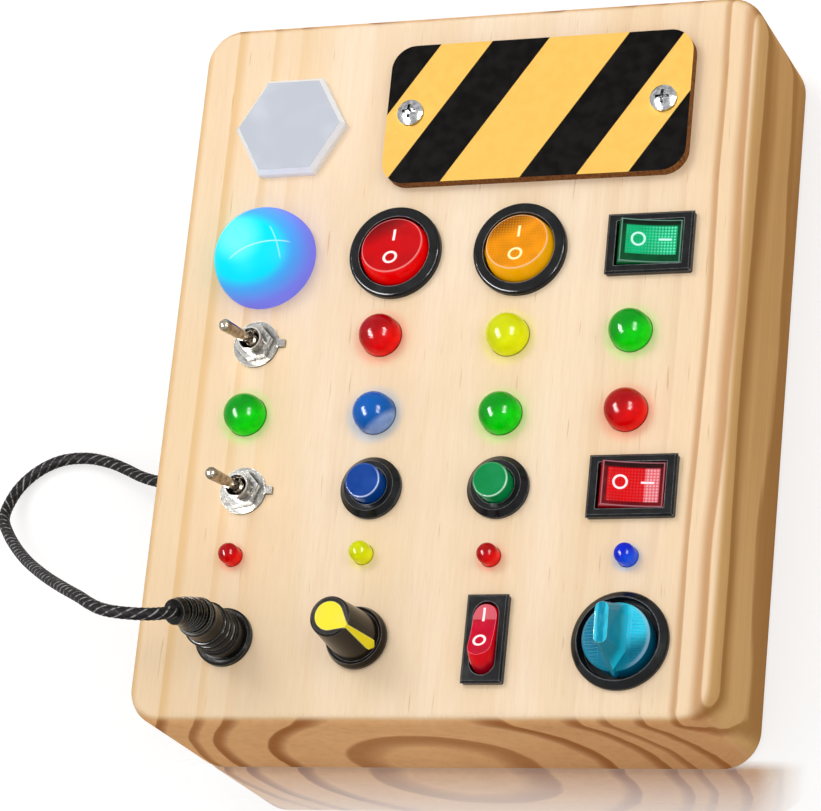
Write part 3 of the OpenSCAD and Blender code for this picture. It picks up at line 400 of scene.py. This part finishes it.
def printed_board():
    """Laser-cut plate: hazard stripes on the face, burnt brown edges."""
    s = Shade("printed_board", (253, 201, 98), 0.45, 0.02)
    x, y, _ = s.place(PLATE)
    lean = x - y * STRIPE_LEAN
    bands = []
    for low, high in BLACK_STRIPES:
        bands.append(lean.line((low + high) / 2 - PLATE[0], (high - low) / 2, 0.06))
    grain = s.noise(0.35, 3, 0.35, 0.7)
    fleck = s.noise((0.5, 3, 3), 3, 0.5, 0.8)
    yellow = s.mix(grain * 0.4 + fleck * 0.2, (255, 204, 102), (247, 189, 84))
    ink = s.mix(grain * 0.5 + fleck * 0.3, (14, 12, 11), (24, 21, 19))
    burnt = s.mix(s.noise((2, 2, 0.6), 2, 0.3, 0.7), (104, 62, 32), (150, 98, 52))
    nz = s.normal()[2]
    s.paint(s.mix(nz.step(0.5, 0.8), burnt, s.mix(strongest(bands), yellow, ink)))
    s.gloss(0.36, 0.55, grain)
    s.bump(s.noise(2.5, 3), 0.012)
    s.dress("striped_plate")


# --- metal and plain plastic --------------------------------------------


def metal(name, colour, dark, roughness, nodes, brush=(0.8, 0.8, 6)):
    """Plated metal: smeared and faintly brushed, with painted shade in the corners and a painted
    highlight along the edges.
    """
    s = Shade(name, colour, roughness, metallic=1)
    smear = s.noise(0.9, 4, 0.35, 0.68)
    # Painted shade: half the dark colour, in the corners
    crevice_shade = tuple(c // 2 for c in dark)
    body = s.mix(s.crevices(1.2), s.mix(smear * 0.8, colour, dark), crevice_shade)
    # Painted highlight: near white along the edges
    s.paint(s.mix(s.edges(0.15) * 0.8, body, (252, 252, 250)))
    s.gloss(roughness * 0.7, roughness * 1.6, smear)
    s.bump(s.noise(brush, 2), 0.01)
    s.dress(*nodes)


def threaded(name, colour, dark, roughness, nodes):
    """Plated metal with a screw thread round it, with painted shade along the thread's turns."""
    pitch = 0.7
    s = Shade(name, colour, roughness, metallic=1)
    z = s.place()[2]
    smear = s.noise(0.9, 3, 0.35, 0.7)
    nz = s.normal()[2]
    turn = (z * (2 * math.pi / pitch)).sine() * 0.5 + 0.5
    side = abs(nz).step(0.6, 0.3)
    # Painted shade along the turns of the thread on the sides, with a little smear
    s.paint(s.mix(turn * side * 0.7 + smear * 0.3, colour, dark))
    s.gloss(roughness * 0.8, roughness * 1.4, smear)
    s.bump(turn * side, 0.12)
    s.dress(*nodes)


def mirror():
    """Silvered tile with a pale bevel, a painted highlight."""
    s = Shade("mirror", (214, 219, 232), 0.05)
    smear = s.noise(0.12, 3, 0.35, 0.75)
    flat = s.normal()[2].step(0.9, 0.99)
    glass = s.mix(smear * 0.4, (202, 207, 217), (210, 214, 224))
    # Painted highlight: the bevel near white where the tile is not flat
    tile = s.mix(flat, (246, 247, 250), glass)
    s.paint(s.mix(s.edges(0.25) * 0.6, tile, (150, 150, 156)))
    s.feed(s.shader.inputs["Metallic"], flat)
    s.gloss(0.04, 0.14, smear)
    s.bump(s.noise(0.05, 2), 0.01)
    s.dress("mirror_tile")


def plastic(name, colour, light, roughness, nodes, rim=None, highlight_reach=0.3):
    """Moulded plastic with a fine grain and a little wear, and where rim is given, a painted
    highlight as a paler line along the edges.
    """
    s = Shade(name, colour, roughness, 0.15)
    wear = s.noise(0.25, 4, 0.4, 0.75)
    body = s.mix(wear * 0.5, colour, light)
    if rim:
        # Painted highlight: the rim colour along the edges, patchy
        highlight_strength = s.noise(0.7, 3, 0.25, 0.6) * 0.35 + 0.3
        body = s.mix(s.edges(highlight_reach) * highlight_strength, body, rim)
    s.paint(body)
    s.gloss(roughness * 0.85, roughness * 1.25, wear)
    s.bump(s.noise(1.2, 3), 0.015)
    s.dress(*nodes)


def button_cap(name, at, colour, light, rim, node):
    """Round cap with a rounded edge and a painted highlight round its rim, brightest at the lower
    right.
    """
    rim_radius = 4.05
    s = Shade(name, colour, 0.24, 0.1)
    x, y, z = s.place(at)
    wear = s.noise(0.3, 4, 0.35, 0.75)
    # Painted highlight: a ring of the rim colour round the cap's edge, strongest at the lower right
    lit = (x * 1.2 - y).step(-1, 5) * 0.8 + 0.08
    edge = x.far(y).line(rim_radius, 0.13, 0.14) * z.step(5.8, 6.2) * lit
    s.paint(s.mix(edge, s.mix(wear * 0.6, colour, light), rim))
    s.gloss(0.12, 0.2, wear)
    s.bump(s.noise(1.2, 3), 0.01)
    s.dress(node)


# --- the dome and the lamps ---------------------------------------------


def reflection_arcs(x, y, z):
    """1 on the two fine arcs of painted reflection, where planes cut the dome."""
    upper = (y * 0.898 - x * 0.351 - z * 0.267).line(-4.834, 0.12, 0.15)
    right = (z * 0.687 - x * 0.624 - y * 0.373).line(3.061, 0.12, 0.15)
    upper_part, right_part = x.line(2.35, 6.9, 0.6), y.line(0.25, 3.7, 0.6)
    return (upper * upper_part * 0.65).most(right * right_part * 0.5)


def dome():
    """Frosted dome lit from within: cyan at its left, violet blue around, and two pale arcs of
    painted reflection.

    Across and down are the directions of the photo, in mm from the middle of its foot.
    """
    s = Shade("dome_blue", (60, 170, 255), 0.5, 0.02)
    x, y, z = s.place(DOME)
    across = x * 0.934 + y * 0.096 - z * 0.345
    down = x * -0.028 - y * 0.941 - z * 0.338
    cloud = s.noise(0.09, 3, 0.3, 0.7)
    pale = (across + 7).far(down + 5.5).step(7.5, 1.5)
    core = ((across + 5.5) * 0.8).far(down + 2.2)
    colour = s.mix(pale, (0, 226, 252), (110, 246, 252))
    colour = s.mix(cloud * 0.2, colour, (20, 206, 255))
    colour = s.mix(core.step(6.8, 9.8), colour, (74, 172, 255))
    colour = s.mix(core.step(9, 14), colour, (128, 132, 255))
    # Painted reflection: the two pale arcs
    colour = s.mix(reflection_arcs(x, y, z), colour, (212, 246, 255))
    s.paint(colour)
    s.glow(colour, 0.2)
    s.gloss(0.45, 0.6, cloud)
    s.bump(s.noise(0.3, 2), 0.02)
    s.dress("dome_lens")


# Dark and lit colours of the lamps
LAMP_COLOURS = {
    "red": ((168, 0, 8), (250, 0, 0)),
    "yellow": ((208, 214, 0), (244, 250, 0)),
    "green": ((0, 150, 20), (0, 232, 0)),
    "blue": ((4, 92, 180), (140, 168, 222)),
    "deep_blue": ((0, 34, 200), (24, 92, 255)),
}


def lamp(slot, name, places, radius, node, lit_from=-0.35):
    """A coloured lamp, lit: a dark upper left, a bright lower right and a dark foot."""
    dark, bright = LAMP_COLOURS[name]
    s = Shade(slot, bright, 0.16, 0.12)
    lit, foot = [], []
    for at in places:
        x, y, z = s.place(at)
        near = x.far(y).step(radius * 1.6, radius * 1.5)
        slant = x * 0.6 - y * 0.75 - z * 0.25
        lit.append(slant.step(radius * lit_from, radius * 0.6) * near)
        foot.append(near * z.step(radius * 0.16, 0))
    cloud = s.noise(0.6, 2, 0.35, 0.7)
    colour = s.mix(strongest(lit) * (cloud * 0.25 + 0.75), dark, bright)
    colour = s.mix(strongest(foot) * 0.7, colour, tuple(c // 3 for c in dark))
    s.paint(colour)
    s.glow(colour, 0.1)
    s.bump(s.noise(1.5, 2), 0.01)
    s.dress(node)


# --- the rockers and the rotary knob ------------------------------------


def rocker_frame(s, at, axis, tilt):
    """x, y and z from a rocker's pivot and 1 on its face, with the rocker turned back level."""
    texture = s.node("TexCoord")
    found = []
    for output, centre in (("Object", Vector((*at, PIVOT_Z)) * MM), ("Normal", Vector())):
        back = s.node("VectorRotate", rotation_type="X_AXIS" if axis == "y" else "Y_AXIS")
        s.feed(back.inputs["Vector"], texture.outputs[output])
        back.inputs["Center"].default_value = centre
        back.inputs["Angle"].default_value = math.radians(tilt if axis == "y" else -tilt)
        found.append(s.parts(back.outputs[0]))
    (x, y, z), (_, _, up) = found
    return x / MM - at[0], y / MM - at[1], z / MM - PIVOT_Z, up.step(0.72, 0.85)


def marks(along, across, ring_at, bar_at, radius, half_bar, half):
    """1 on the O and the I."""
    ring = (along - ring_at).far(across).line(radius, half)
    return ring.most(along.line(bar_at, half_bar) * across.line(0, half))


def from_dots(x, y, grid):
    """The distance from the nearest dot of a grid, in steps of the grid."""
    return ((x / grid).fraction() - 0.5).far((y / grid).fraction() - 0.5)


def clear_cap(name, colour):
    return Shade(name, colour, 0.12, 0.1)


def finish_cap(s, body, ink, mark, dots, node):
    colour = s.mix(ink, body, mark)
    s.paint(colour)
    # Painted light: a faint glow of the cap's own colour, with no lamp inside
    s.glow(colour, 0.14)
    s.gloss(0.08, 0.2, s.noise(0.4, 3, 0.35, 0.7))
    s.bump(dots, 0.02)
    s.dress(node)


def round_rocker(name, at, colours, node, grid=0.9, grain=0.0):
    """Clear round rocker, with painted shade towards its upper left and low on its side, and a
    painted highlight as a pale rim line.
    """
    rim_radius = 7.45
    face, shade, side, rim, mark = colours
    s = clear_cap(name, face)
    x, y, z, top = rocker_frame(s, at, "y", ROCKER_TILT)
    cloud = s.noise(0.18, 3, 0.3, 0.7)
    # Painted shade towards the upper left of the face
    deep = (y * 0.85 - x * 0.5).step(1.5, 7).most(cloud * 0.3)
    dots = from_dots(x, y, grid).step(0.45, 0.1) * top
    lens = s.mix(dots * grain, s.mix(deep * 0.85, face, shade), side)
    # Painted shade low on the side
    around = s.mix(z.step(0.6, -1.4), s.mix(cloud * 0.25, side, face), shade)
    body = s.mix(top, around, lens)
    # Painted highlight: a pale line round the rim
    body = s.mix(x.far(y).line(rim_radius, 0.13, 0.1) * z.step(3.6, 3.9) * 0.75, body, rim)
    ink = marks(y, x, -3.2, 3.1, 1.5, 1.5, 0.31) * top
    finish_cap(s, body, ink, mark, dots * 0.3, node)


def rect_rocker(name, at, colours, node, low, reflection_from, dotted):
    """Clear rectangular rocker with a dotted insert from low up; a painted reflection makes it pale
    from a given x on, with painted shade low down and along the top margin, and painted highlights
    along the edges.
    """
    high, half_width, grid = 3.8, 5.95, 0.74
    face, shade, side, rim, dot, mark = colours
    s = clear_cap(name, face)
    x, y, z, top = rocker_frame(s, at, "x", ROCKER_TILT)
    cloud = s.noise(0.2, 3, 0.3, 0.7)
    insert = x.line(0.1, half_width, 0.12) * y.line((high + low) / 2, (high - low) / 2, 0.15)
    dots = from_dots(x, y, grid).step(0.5, 0.15)
    # Painted reflection: the lens pale from this x on
    pale = x.step(reflection_from - 0.15, reflection_from + 0.15)
    lens = s.mix(dots * (x.step(-3, 5) * dotted + 0.06), s.mix(cloud * 0.3, face, side), dot)
    lens = s.mix(pale * 0.55, lens, s.mix(dots * 0.8, dot, mark))
    # Painted shade: a dark band along the top of the margin
    margin = s.mix(y.step(3.5, 4.4) * 0.85, s.mix(cloud * 0.4, shade, side), (10, 8, 8))
    # Painted shade low on the sides
    body = s.mix(top, s.mix(z.step(2, 0), side, shade), s.mix(insert, margin, lens))
    # Painted highlight: pale lines along the edges of the face
    rims = abs(x).line(6.95, 0.14, 0.08).most(abs(y).line(5.2, 0.13, 0.08)) * z.step(2.4, 2.7)
    body = s.mix(rims * 0.6, body, rim)
    ink = marks(x, y - 0.4, -2.95, 3.3, 1.5, 1.5, 0.25) * top
    finish_cap(s, body, ink, mark, dots * insert, node)


def slim_rocker():
    """Clear slim rocker with a hollow face, pale at its low end, with painted shade low on its
    sides and a painted highlight along the edges of its top.
    """
    face, shade, side = (208, 4, 46), (140, 0, 22), (214, 0, 18)
    low_end, rim, mark = (222, 116, 126), (255, 140, 164), (255, 240, 240)
    s = clear_cap("slim_cap", face)
    x, y, z, top = rocker_frame(s, SLIM, "y", SLIM_TILT)
    cloud = s.noise(0.25, 3, 0.3, 0.7)
    lens = s.mix(y.step(3.0, 3.3) * 0.6, s.mix(cloud * 0.4, face, shade), low_end)
    # Painted shade low on the sides
    body = s.mix(top, s.mix(z.step(3.2, 0.5), side, shade), lens)
    # Painted highlight: a pale line along the edges of the top
    body = s.mix(s.edges(0.22) * z.step(3.2, 3.6) * 0.9, body, rim)
    ink = marks(y, x + 0.25, -2.4, 4.3, 1.3, 1.6, 0.28) * top
    finish_cap(s, body, ink, mark, cloud, "slim_rocker")


def rotary_flank(s, nx, ny, z):
    """The sides of the blade, with painted shade by the way each faces and a painted highlight near
    the foot of the right one.
    """
    flank = s.mix(nx.step(-0.2, 0.3), (20, 126, 156), (0, 134, 160))
    flank = s.mix(ny.step(-0.3, -0.6), flank, (0, 124, 146))
    return s.mix(z.step(9.5, 5.5) * nx.step(0.3, 0.7) * 0.9, flank, (36, 200, 230))


def rotary_disc(s, x, y, z):
    """The fluted disc with painted light: brighter at its right, painted highlights along its edges
    and its right rim, and painted shade towards its lower right and low down.
    """
    disc = s.mix(x.step(-2, 4), (12, 132, 162), (56, 222, 246))
    disc = s.mix(s.edges(0.2) * 0.4, disc, (176, 216, 234))
    disc = s.mix((x * 0.5 - y).step(1.5, 6), disc, (0, 122, 146))
    disc = s.mix(x.far(y).step(7.1, 7.9) * x.step(2, 6) * 0.6, disc, (168, 196, 222))
    return s.mix(z.step(3.9, 3.4), disc, (0, 96, 128))


def rotary_knob():
    """Clear cyan knob with painted light: painted highlights along the ridge's borders, painted
    shade on the flanks, a pale painted highlight along the edges and a faint glow.
    """
    s = Shade("cyan_knob", (0, 160, 195), 0.14, 0.1)
    x, y, z = s.place(ROTARY)
    nx, ny, nz = s.parts(s.node("TexCoord").outputs["Normal"])
    cloud = s.noise(0.3, 3, 0.3, 0.7)
    blade = z.step(4.9, 5.3)
    body = s.mix(blade, rotary_disc(s, x, y, z), rotary_flank(s, nx, ny, z))
    # Painted highlight along the borders of the ridge
    bright = abs(x).step(0.5, 1.1) * 0.8 + s.noise((2, 0.5, 1), 2, 0.4, 0.7) * 0.3
    ridge = s.mix(bright, (0, 138, 170), (54, 208, 234))
    body = s.mix(nz.step(0.85, 0.95) * blade, body, ridge)
    body = s.mix(cloud * 0.2, body, (0, 110, 150))
    # Painted highlight along the edges, most on the blade
    body = s.mix(s.edges(0.2) * (z.step(5, 6) * 0.5 + 0.1), body, (150, 226, 242))
    s.paint(body)
    # Painted light: a faint glow, with no lamp inside
    s.glow(body, 0.06)
    s.gloss(0.1, 0.2, cloud)
    s.bump(s.noise(1, 2), 0.01)
    s.dress("rotary_knob")


# --- the cord -----------------------------------------------------------

# The route as in the part's source, in mm
CORD_RADIUS, CORD_LENGTH = 1.5, 0.2015
CORD_END = Vector((-49.215, -70.236, 68.677))
CORD_WAY = Vector((-0.2514, -0.3591, 0.8988))
CORD_POINTS = [
    Vector(p)
    for p in (
        (-71.5, -20, 14),
        (-75.5, -20, 14),
        (-79.5, -20, 14),
        (-84.5, -19.2, 13),
        (-90.5, -16.8, 10),
        (-96.5, -13.6, 6.6),
        (-103, -10.6, 3.6),
        (-110, -8.8, 2),
        (-117, -9.1, 1.7),
        (-123, -11.6, 1.7),
        (-127.4, -16, 2.4),
        (-129, -21.6, 4.6),
        (-127.6, -27, 8.6),
        (-122.4, -33, 15),
        (-115.5, -39.2, 23),
        (-107.5, -45.4, 32.4),
        (-99, -51.2, 42.4),
        (-90, -56.9, 52.6),
        (-81, -62.2, 62.2),
        (-72.5, -67, 70.6),
        (-67.8, -69.8, 74.6),
        (-63.6, -71.9, 77.4),
        (-59.8, -73, 78.5),
        (-55.6, -73.3, 77.8),
        (-52.2, -72.8, 75.5),
        CORD_END + 3.6 * CORD_WAY,
        CORD_END,
    )
]
STRANDS = 4


def spline(points, steps):
    """Points along the smooth curve through points, steps to each stretch."""
    found = []
    for i in range(len(points) - 1):
        a, b, c, d = (points[min(max(k, 0), len(points) - 1)] for k in range(i - 1, i + 3))
        for t in (k / steps for k in range(steps)):
            curve = 2 * b + (c - a) * t + (2 * a - 5 * b + 4 * c - d) * t * t
            found.append((curve + (3 * b - a - 3 * c + d) * t**3) / 2)
    return [*found, points[-1]]


def braided_tube(name, path, radius, sides, plait, depth):
    """A tube along path, in mm, with ridges of depth that wind round both ways.

    Its UVs hold the turn round the cord and the length along it, in plaits.
    """
    mesh = bmesh.new()
    layer = mesh.loops.layers.uv.new("braid")
    rings, along = [], 0
    side = Vector((0, 1, 0))
    for i, point in enumerate(path):
        way = (path[min(i + 1, len(path) - 1)] - path[max(i - 1, 0)]).normalized()
        side = (side - side.dot(way) * way).normalized()
        up = way.cross(side)
        along += (point - path[i - 1]).length if i else 0
        phase = 2 * math.pi * along / plait
        ring = []
        for k in range(sides):
            turn = 2 * math.pi * k / sides
            over = math.sin(STRANDS * turn + phase) * math.sin(STRANDS * turn - phase)
            r = radius - depth * (0.5 - 0.5 * over)
            around = math.cos(turn) * side + math.sin(turn) * up
            ring.append(mesh.verts.new((point + r * around) * MM))
        rings.append((ring, along / plait))
    for (low, v0), (high, v1) in zip(rings, rings[1:]):
        for k in range(sides):
            j = (k + 1) % sides
            face = mesh.faces.new((low[k], low[j], high[j], high[k]))
            face.smooth = True
            u0, u1 = k / sides, (k + 1) / sides
            for loop, uv in zip(face.loops, ((u0, v0), (u1, v0), (u1, v1), (u0, v1))):
                loop[layer].uv = uv
    mesh.faces.new(reversed(rings[0][0]))
    mesh.faces.new(rings[-1][0])
    bmesh.ops.recalc_face_normals(mesh, faces=mesh.faces)
    data = bpy.data.meshes.new(name)
    mesh.to_mesh(data)
    return add_object(name, data)


def braid():
    """Black braid with pale threads that wind round it."""
    s = Shade("braid", (18, 15, 15), 0.5, 0.05)
    u, v, _ = s.parts(s.node("UVMap", uv_map="braid").outputs[0])
    one = (u * STRANDS + v).fraction().line(0.5, 0.09, 0.06)
    other = (u * STRANDS - v).fraction().line(0.5, 0.08, 0.08)
    fuzz = s.noise(3, 3, 0.3, 0.7)
    flecks = s.noise(0.8, 2, 0.4, 0.6)
    dark = s.mix(fuzz, (12, 10, 10), (34, 30, 30))
    dark = s.mix(other * 0.25, dark, (76, 72, 74))
    s.paint(s.mix(one * (flecks * 0.7 + 0.1), dark, (184, 182, 184)))
    s.gloss(0.45, 0.7, fuzz)
    s.bump(fuzz, 0.05)
    return s.material


def make_cord():
    path = spline(CORD_POINTS, steps=14)
    cord = braided_tube("braided_cord", path, CORD_RADIUS, sides=20, plait=3, depth=0.16)
    cord.data.materials.append(braid())
    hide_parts("cord")
    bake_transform(cord)
    [p * MM for p in path]


# --- the stage ----------------------------------------------------------

# The floor's mirror effect, as the axis, two places along it in metres, and its share at each
FLOOR_MIRROR = (
    ("Y", -0.11, -0.0895, 0, 0.85),
    ("Y", -0.086, -0.0885, 0, 1),
    ("X", -0.082, -0.07, 0, 1),
    ("X", 0.082, 0.07, 0, 1),
)


def new_nodes(tree, *kinds):
    return [tree.nodes.new("ShaderNode" + kind) for kind in kinds]


def seen_rays(tree):
    """1 for camera, glossy and transmission rays."""
    (path,) = new_nodes(tree, "LightPath")
    found = path.outputs["Is Camera Ray"]
    for kind in ("Is Glossy Ray", "Is Transmission Ray"):
        (most,) = new_nodes(tree, "Math")
        most.operation = "MAXIMUM"
        tree.links.new(found, most.inputs[0])
        tree.links.new(path.outputs[kind], most.inputs[1])
        found = most.outputs[0]
    return found


def mirror_share(tree):
    """How much the floor mirrors for the camera: most just before the board."""
    place, parts, path = new_nodes(tree, "TexCoord", "SeparateXYZ", "LightPath")
    tree.links.new(place.outputs["Object"], parts.inputs[0])
    share = path.outputs["Is Camera Ray"]
    for axis, *values in FLOOR_MIRROR:
        reach, times = new_nodes(tree, "MapRange", "Math")
        for socket, value in zip(reach.inputs[1:5], values):
            socket.default_value = value
        times.operation = "MULTIPLY"
        tree.links.new(parts.outputs[axis], reach.inputs["Value"])
        tree.links.new(reach.outputs[0], times.inputs[0])
        tree.links.new(share, times.inputs[1])
        share = times.outputs[0]
    return share


def floor_material():
    """Plain diffuse for the light it sends back, and for the eye a white with soft shadows."""
    material = bpy.data.materials.new("floor")
    material.use_nodes = True
    tree = material.node_tree
    tree.nodes.clear()
    out, plain, seen = new_nodes(tree, "OutputMaterial", "BsdfDiffuse", "BsdfDiffuse")
    white, gloss, add = new_nodes(tree, "Emission", "BsdfGlossy", "AddShader")
    polish, mix = new_nodes(tree, "MixShader", "MixShader")
    plain.inputs["Color"].default_value = (0.8, 0.8, 0.8, 1)
    seen.inputs["Color"].default_value = (0.42, 0.42, 0.42, 1)
    white.inputs["Strength"].default_value = 0.65
    gloss.inputs["Color"].default_value = (1, 1, 1, 1)
    gloss.inputs["Roughness"].default_value = 0
    for begin, end in (
        (mirror_share(tree), polish.inputs[0]),
        (seen.outputs[0], add.inputs[0]),
        (white.outputs[0], add.inputs[1]),
        (add.outputs[0], polish.inputs[1]),
        (gloss.outputs[0], polish.inputs[2]),
        (seen_rays(tree), mix.inputs[0]),
        (plain.outputs[0], mix.inputs[1]),
        (polish.outputs[0], mix.inputs[2]),
        (mix.outputs[0], out.inputs[0]),
    ):
        tree.links.new(begin, end)
    return material


def make_floor():
    """A pale floor, white where nothing shades it, glossy just before the board."""
    half = 3
    data = bpy.data.meshes.new("floor")
    corners = [(-half, -half, 0), (half, -half, 0), (half, half, 0), (-half, half, 0)]
    data.from_pydata(corners, [], [(0, 1, 2, 3)])
    data.materials.append(floor_material())
    add_object("floor", data)


def make_light(name, place, size, power, gleam=False):
    """A lamp that gives diffuse light only, or only the gleam on what is glossy."""
    data = bpy.data.lights.new(name, "AREA")
    data.shape, data.size, data.size_y, data.energy = "RECTANGLE", *size, power
    light = add_object(name, data)
    light.visible_diffuse, light.visible_glossy = not gleam, gleam
    place = Vector(place)
    turn = place.to_track_quat("Z", "Y").to_matrix().to_4x4()
    light.matrix_world = Matrix.Translation(place) @ turn


def make_world():
    """Soft light, dimmer towards the horizon, behind a white background."""
    low, high, horizon = 0.1, 1, 0.33
    world = bpy.data.worlds.new("studio")
    world.use_nodes = True
    bpy.context.scene.world = world
    tree = world.node_tree
    background = tree.nodes["Background"]
    place, parts, height, seen = new_nodes(tree, "TexCoord", "SeparateXYZ", "MapRange", "Math")
    seen.operation = "MAXIMUM"
    height.inputs["From Min"].default_value = low
    height.inputs["To Min"].default_value = horizon
    height.inputs["To Max"].default_value = high
    tree.links.new(place.outputs["Generated"], parts.inputs[0])
    tree.links.new(parts.outputs["Z"], height.inputs["Value"])
    tree.links.new(height.outputs[0], seen.inputs[0])
    tree.links.new(seen_rays(tree), seen.inputs[1])
    tree.links.new(seen.outputs[0], background.inputs["Strength"])
    background.inputs["Color"].default_value = (1, 1, 1, 1)


def make_lights():
    left, right = (-0.64, -0.22, 0.98), (0.82, 0.03, 0.88)
    make_light("key", (-0.5, 0.45, 1), size=(0.5, 0.5), power=3.8)
    make_light("second", right, size=(0.5, 0.7), power=1.3)
    make_light("key_gleam", left, size=(0.9, 0.34), power=84, gleam=True)
    make_light("second_gleam", right, size=(0.8, 0.34), power=70, gleam=True)


# --- the pieces' materials ----------------------------------------------


def dress_metals():
    steel = ["panel_screws", "plate_screws", "door_screw"]
    steel += ["blue_button_spring", "green_button_spring"]
    nickel = ["toggle_nuts", "dimmer_nut", "dimmer_shaft", "socket_nut"]
    levers = ["upper_toggle_lever", "lower_toggle_lever"]
    tin = ["solder_tags", "battery_contacts", "socket_contact"]
    metal("steel", (182, 183, 185), (104, 105, 108), 0.14, steel)
    metal("nickel", (196, 194, 189), (112, 109, 104), 0.14, nickel, brush=3)
    dull = ["toggle_washers", "button_nuts"]
    metal("dull_nickel", (164, 162, 158), (98, 96, 92), 0.16, dull, brush=3)
    metal("worn_nickel", (172, 161, 144), (104, 92, 76), 0.15, levers)
    threaded("thread", (204, 201, 196), (74, 71, 67), 0.14, ["toggle_bushings", "plug_barrel"])
    metal("tin", (214, 208, 190), (170, 160, 140), 0.3, tin)


def make_springs():
    """The springs of the two buttons, each as an object of its own on the board."""
    for colour in ("blue", "green"):
        node = colour + "_button_spring"
        spring = add_object(colour + "_coil", NODES[node].data.copy())
        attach(spring, "board")
        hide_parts(node)
        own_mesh(spring)


def dress_plastics():
    housings = [name + "_rocker_housing" for name in ("red", "amber", "green", "crimson", "slim")]
    housings += ["rotary_housing", "blue_button_body", "green_button_body"]
    hidden = ["cord_bushing", "battery_box", "battery_door", "dimmer_body"]
    plug = ["socket_body", "plug_body"]
    dark, light = (20, 21, 23), (32, 34, 37)
    plastic("black_plastic", dark, light, 0.2, housings, rim=(178, 178, 180), highlight_reach=0.38)
    plastic("black_matte", (28, 28, 29), (42, 42, 43), 0.45, hidden, rim=(90, 90, 92))
    dark, light = (15, 13, 10), (28, 25, 20)
    plastic("black_plug", dark, light, 0.22, plug, rim=(184, 181, 172), highlight_reach=0.22)
    dark, light = (28, 22, 12), (44, 36, 24)
    plastic("black_knob", dark, light, 0.22, ["dimmer_knob"], rim=(160, 158, 170))
    dark, light = (255, 236, 20), (248, 224, 16)
    plastic("yellow_inlay", dark, light, 0.22, ["dimmer_pointer"], rim=(255, 246, 140))
    plastic("circuit_board", (20, 96, 52), (40, 120, 70), 0.5, ["dome_light_board"])
    plastic("red_body", (170, 34, 30), (190, 50, 44), 0.4, ["toggle_bodies"])
    plastic("cell", (52, 90, 150), (70, 110, 170), 0.35, ["battery_cells"])
    plastic("wire", (176, 32, 30), (200, 50, 44), 0.4, ["hookup_wires"])


def dress_buttons():
    dark, light, rim = (0, 62, 150), (2, 78, 172), (206, 224, 255)
    button_cap("blue_cap", BLUE_BUTTON, dark, light, rim, "blue_button_cap")
    dark, light, rim = (0, 140, 70), (0, 154, 86), (206, 250, 226)
    button_cap("deep_green_cap", GREEN_BUTTON, dark, light, rim, "green_button_cap")


def dress_lamps():
    for name, node, lit_from in (
        ("red", "big_lamps_red", -0.35),
        ("yellow", "big_lamp_yellow", -0.35),
        ("green", "big_lamps_green", -0.35),
        ("blue", "big_lamp_blue", 0.3),
    ):
        lamp(name + "_lens", name, BIG_LAMPS[name], BIG, node, lit_from)
    for name, colour, node in (
        ("red", "red", "small_lamps_red"),
        ("yellow", "yellow", "small_lamp_yellow"),
        ("blue", "deep_blue", "small_lamp_blue"),
    ):
        lamp(f"small_{name}_lens", colour, SMALL_LAMPS[name], SMALL, node)


def dress_rockers():
    """The caps of the rockers, each with its face, painted shade, side, painted rim highlight and
    marks, and some dots.
    """
    red = (204, 0, 8), (100, 0, 4), (255, 0, 2), (250, 150, 150), (255, 236, 236)
    amber = (240, 146, 4), (110, 50, 4), (255, 180, 6), (255, 206, 160), (255, 240, 170)
    round_rocker("red_cap", RED, red, "red_rocker")
    round_rocker("amber_cap", AMBER, amber, "amber_rocker", grid=0.7, grain=0.3)
    face, shade, side, rim = (0, 178, 114), (0, 56, 32), (0, 100, 44), (130, 176, 160)
    green = face, shade, side, rim, (120, 244, 204), (196, 250, 232)
    rect_rocker("green_cap", GREEN, green, "green_rocker", low=-3.3, reflection_from=12, dotted=0.7)
    face, shade, side, rim = (218, 0, 4), (70, 0, 8), (158, 0, 12), (206, 130, 140)
    crimson = face, shade, side, rim, (230, 124, 136), (255, 236, 240)
    rect_rocker("crimson_cap", CRIMSON, crimson, "crimson_rocker", low=-4.2, reflection_from=2.7, dotted=0.12)
    slim_rocker()


make_camera()
make_cord()
make_floor()
make_world()
make_lights()
pine()
plywood()
printed_board()
mirror()
dome()
dress_metals()
make_springs()
dress_plastics()
dress_buttons()
rotary_knob()
dress_lamps()
dress_rockers()

bpy.context.scene.view_settings.view_transform = "Standard"
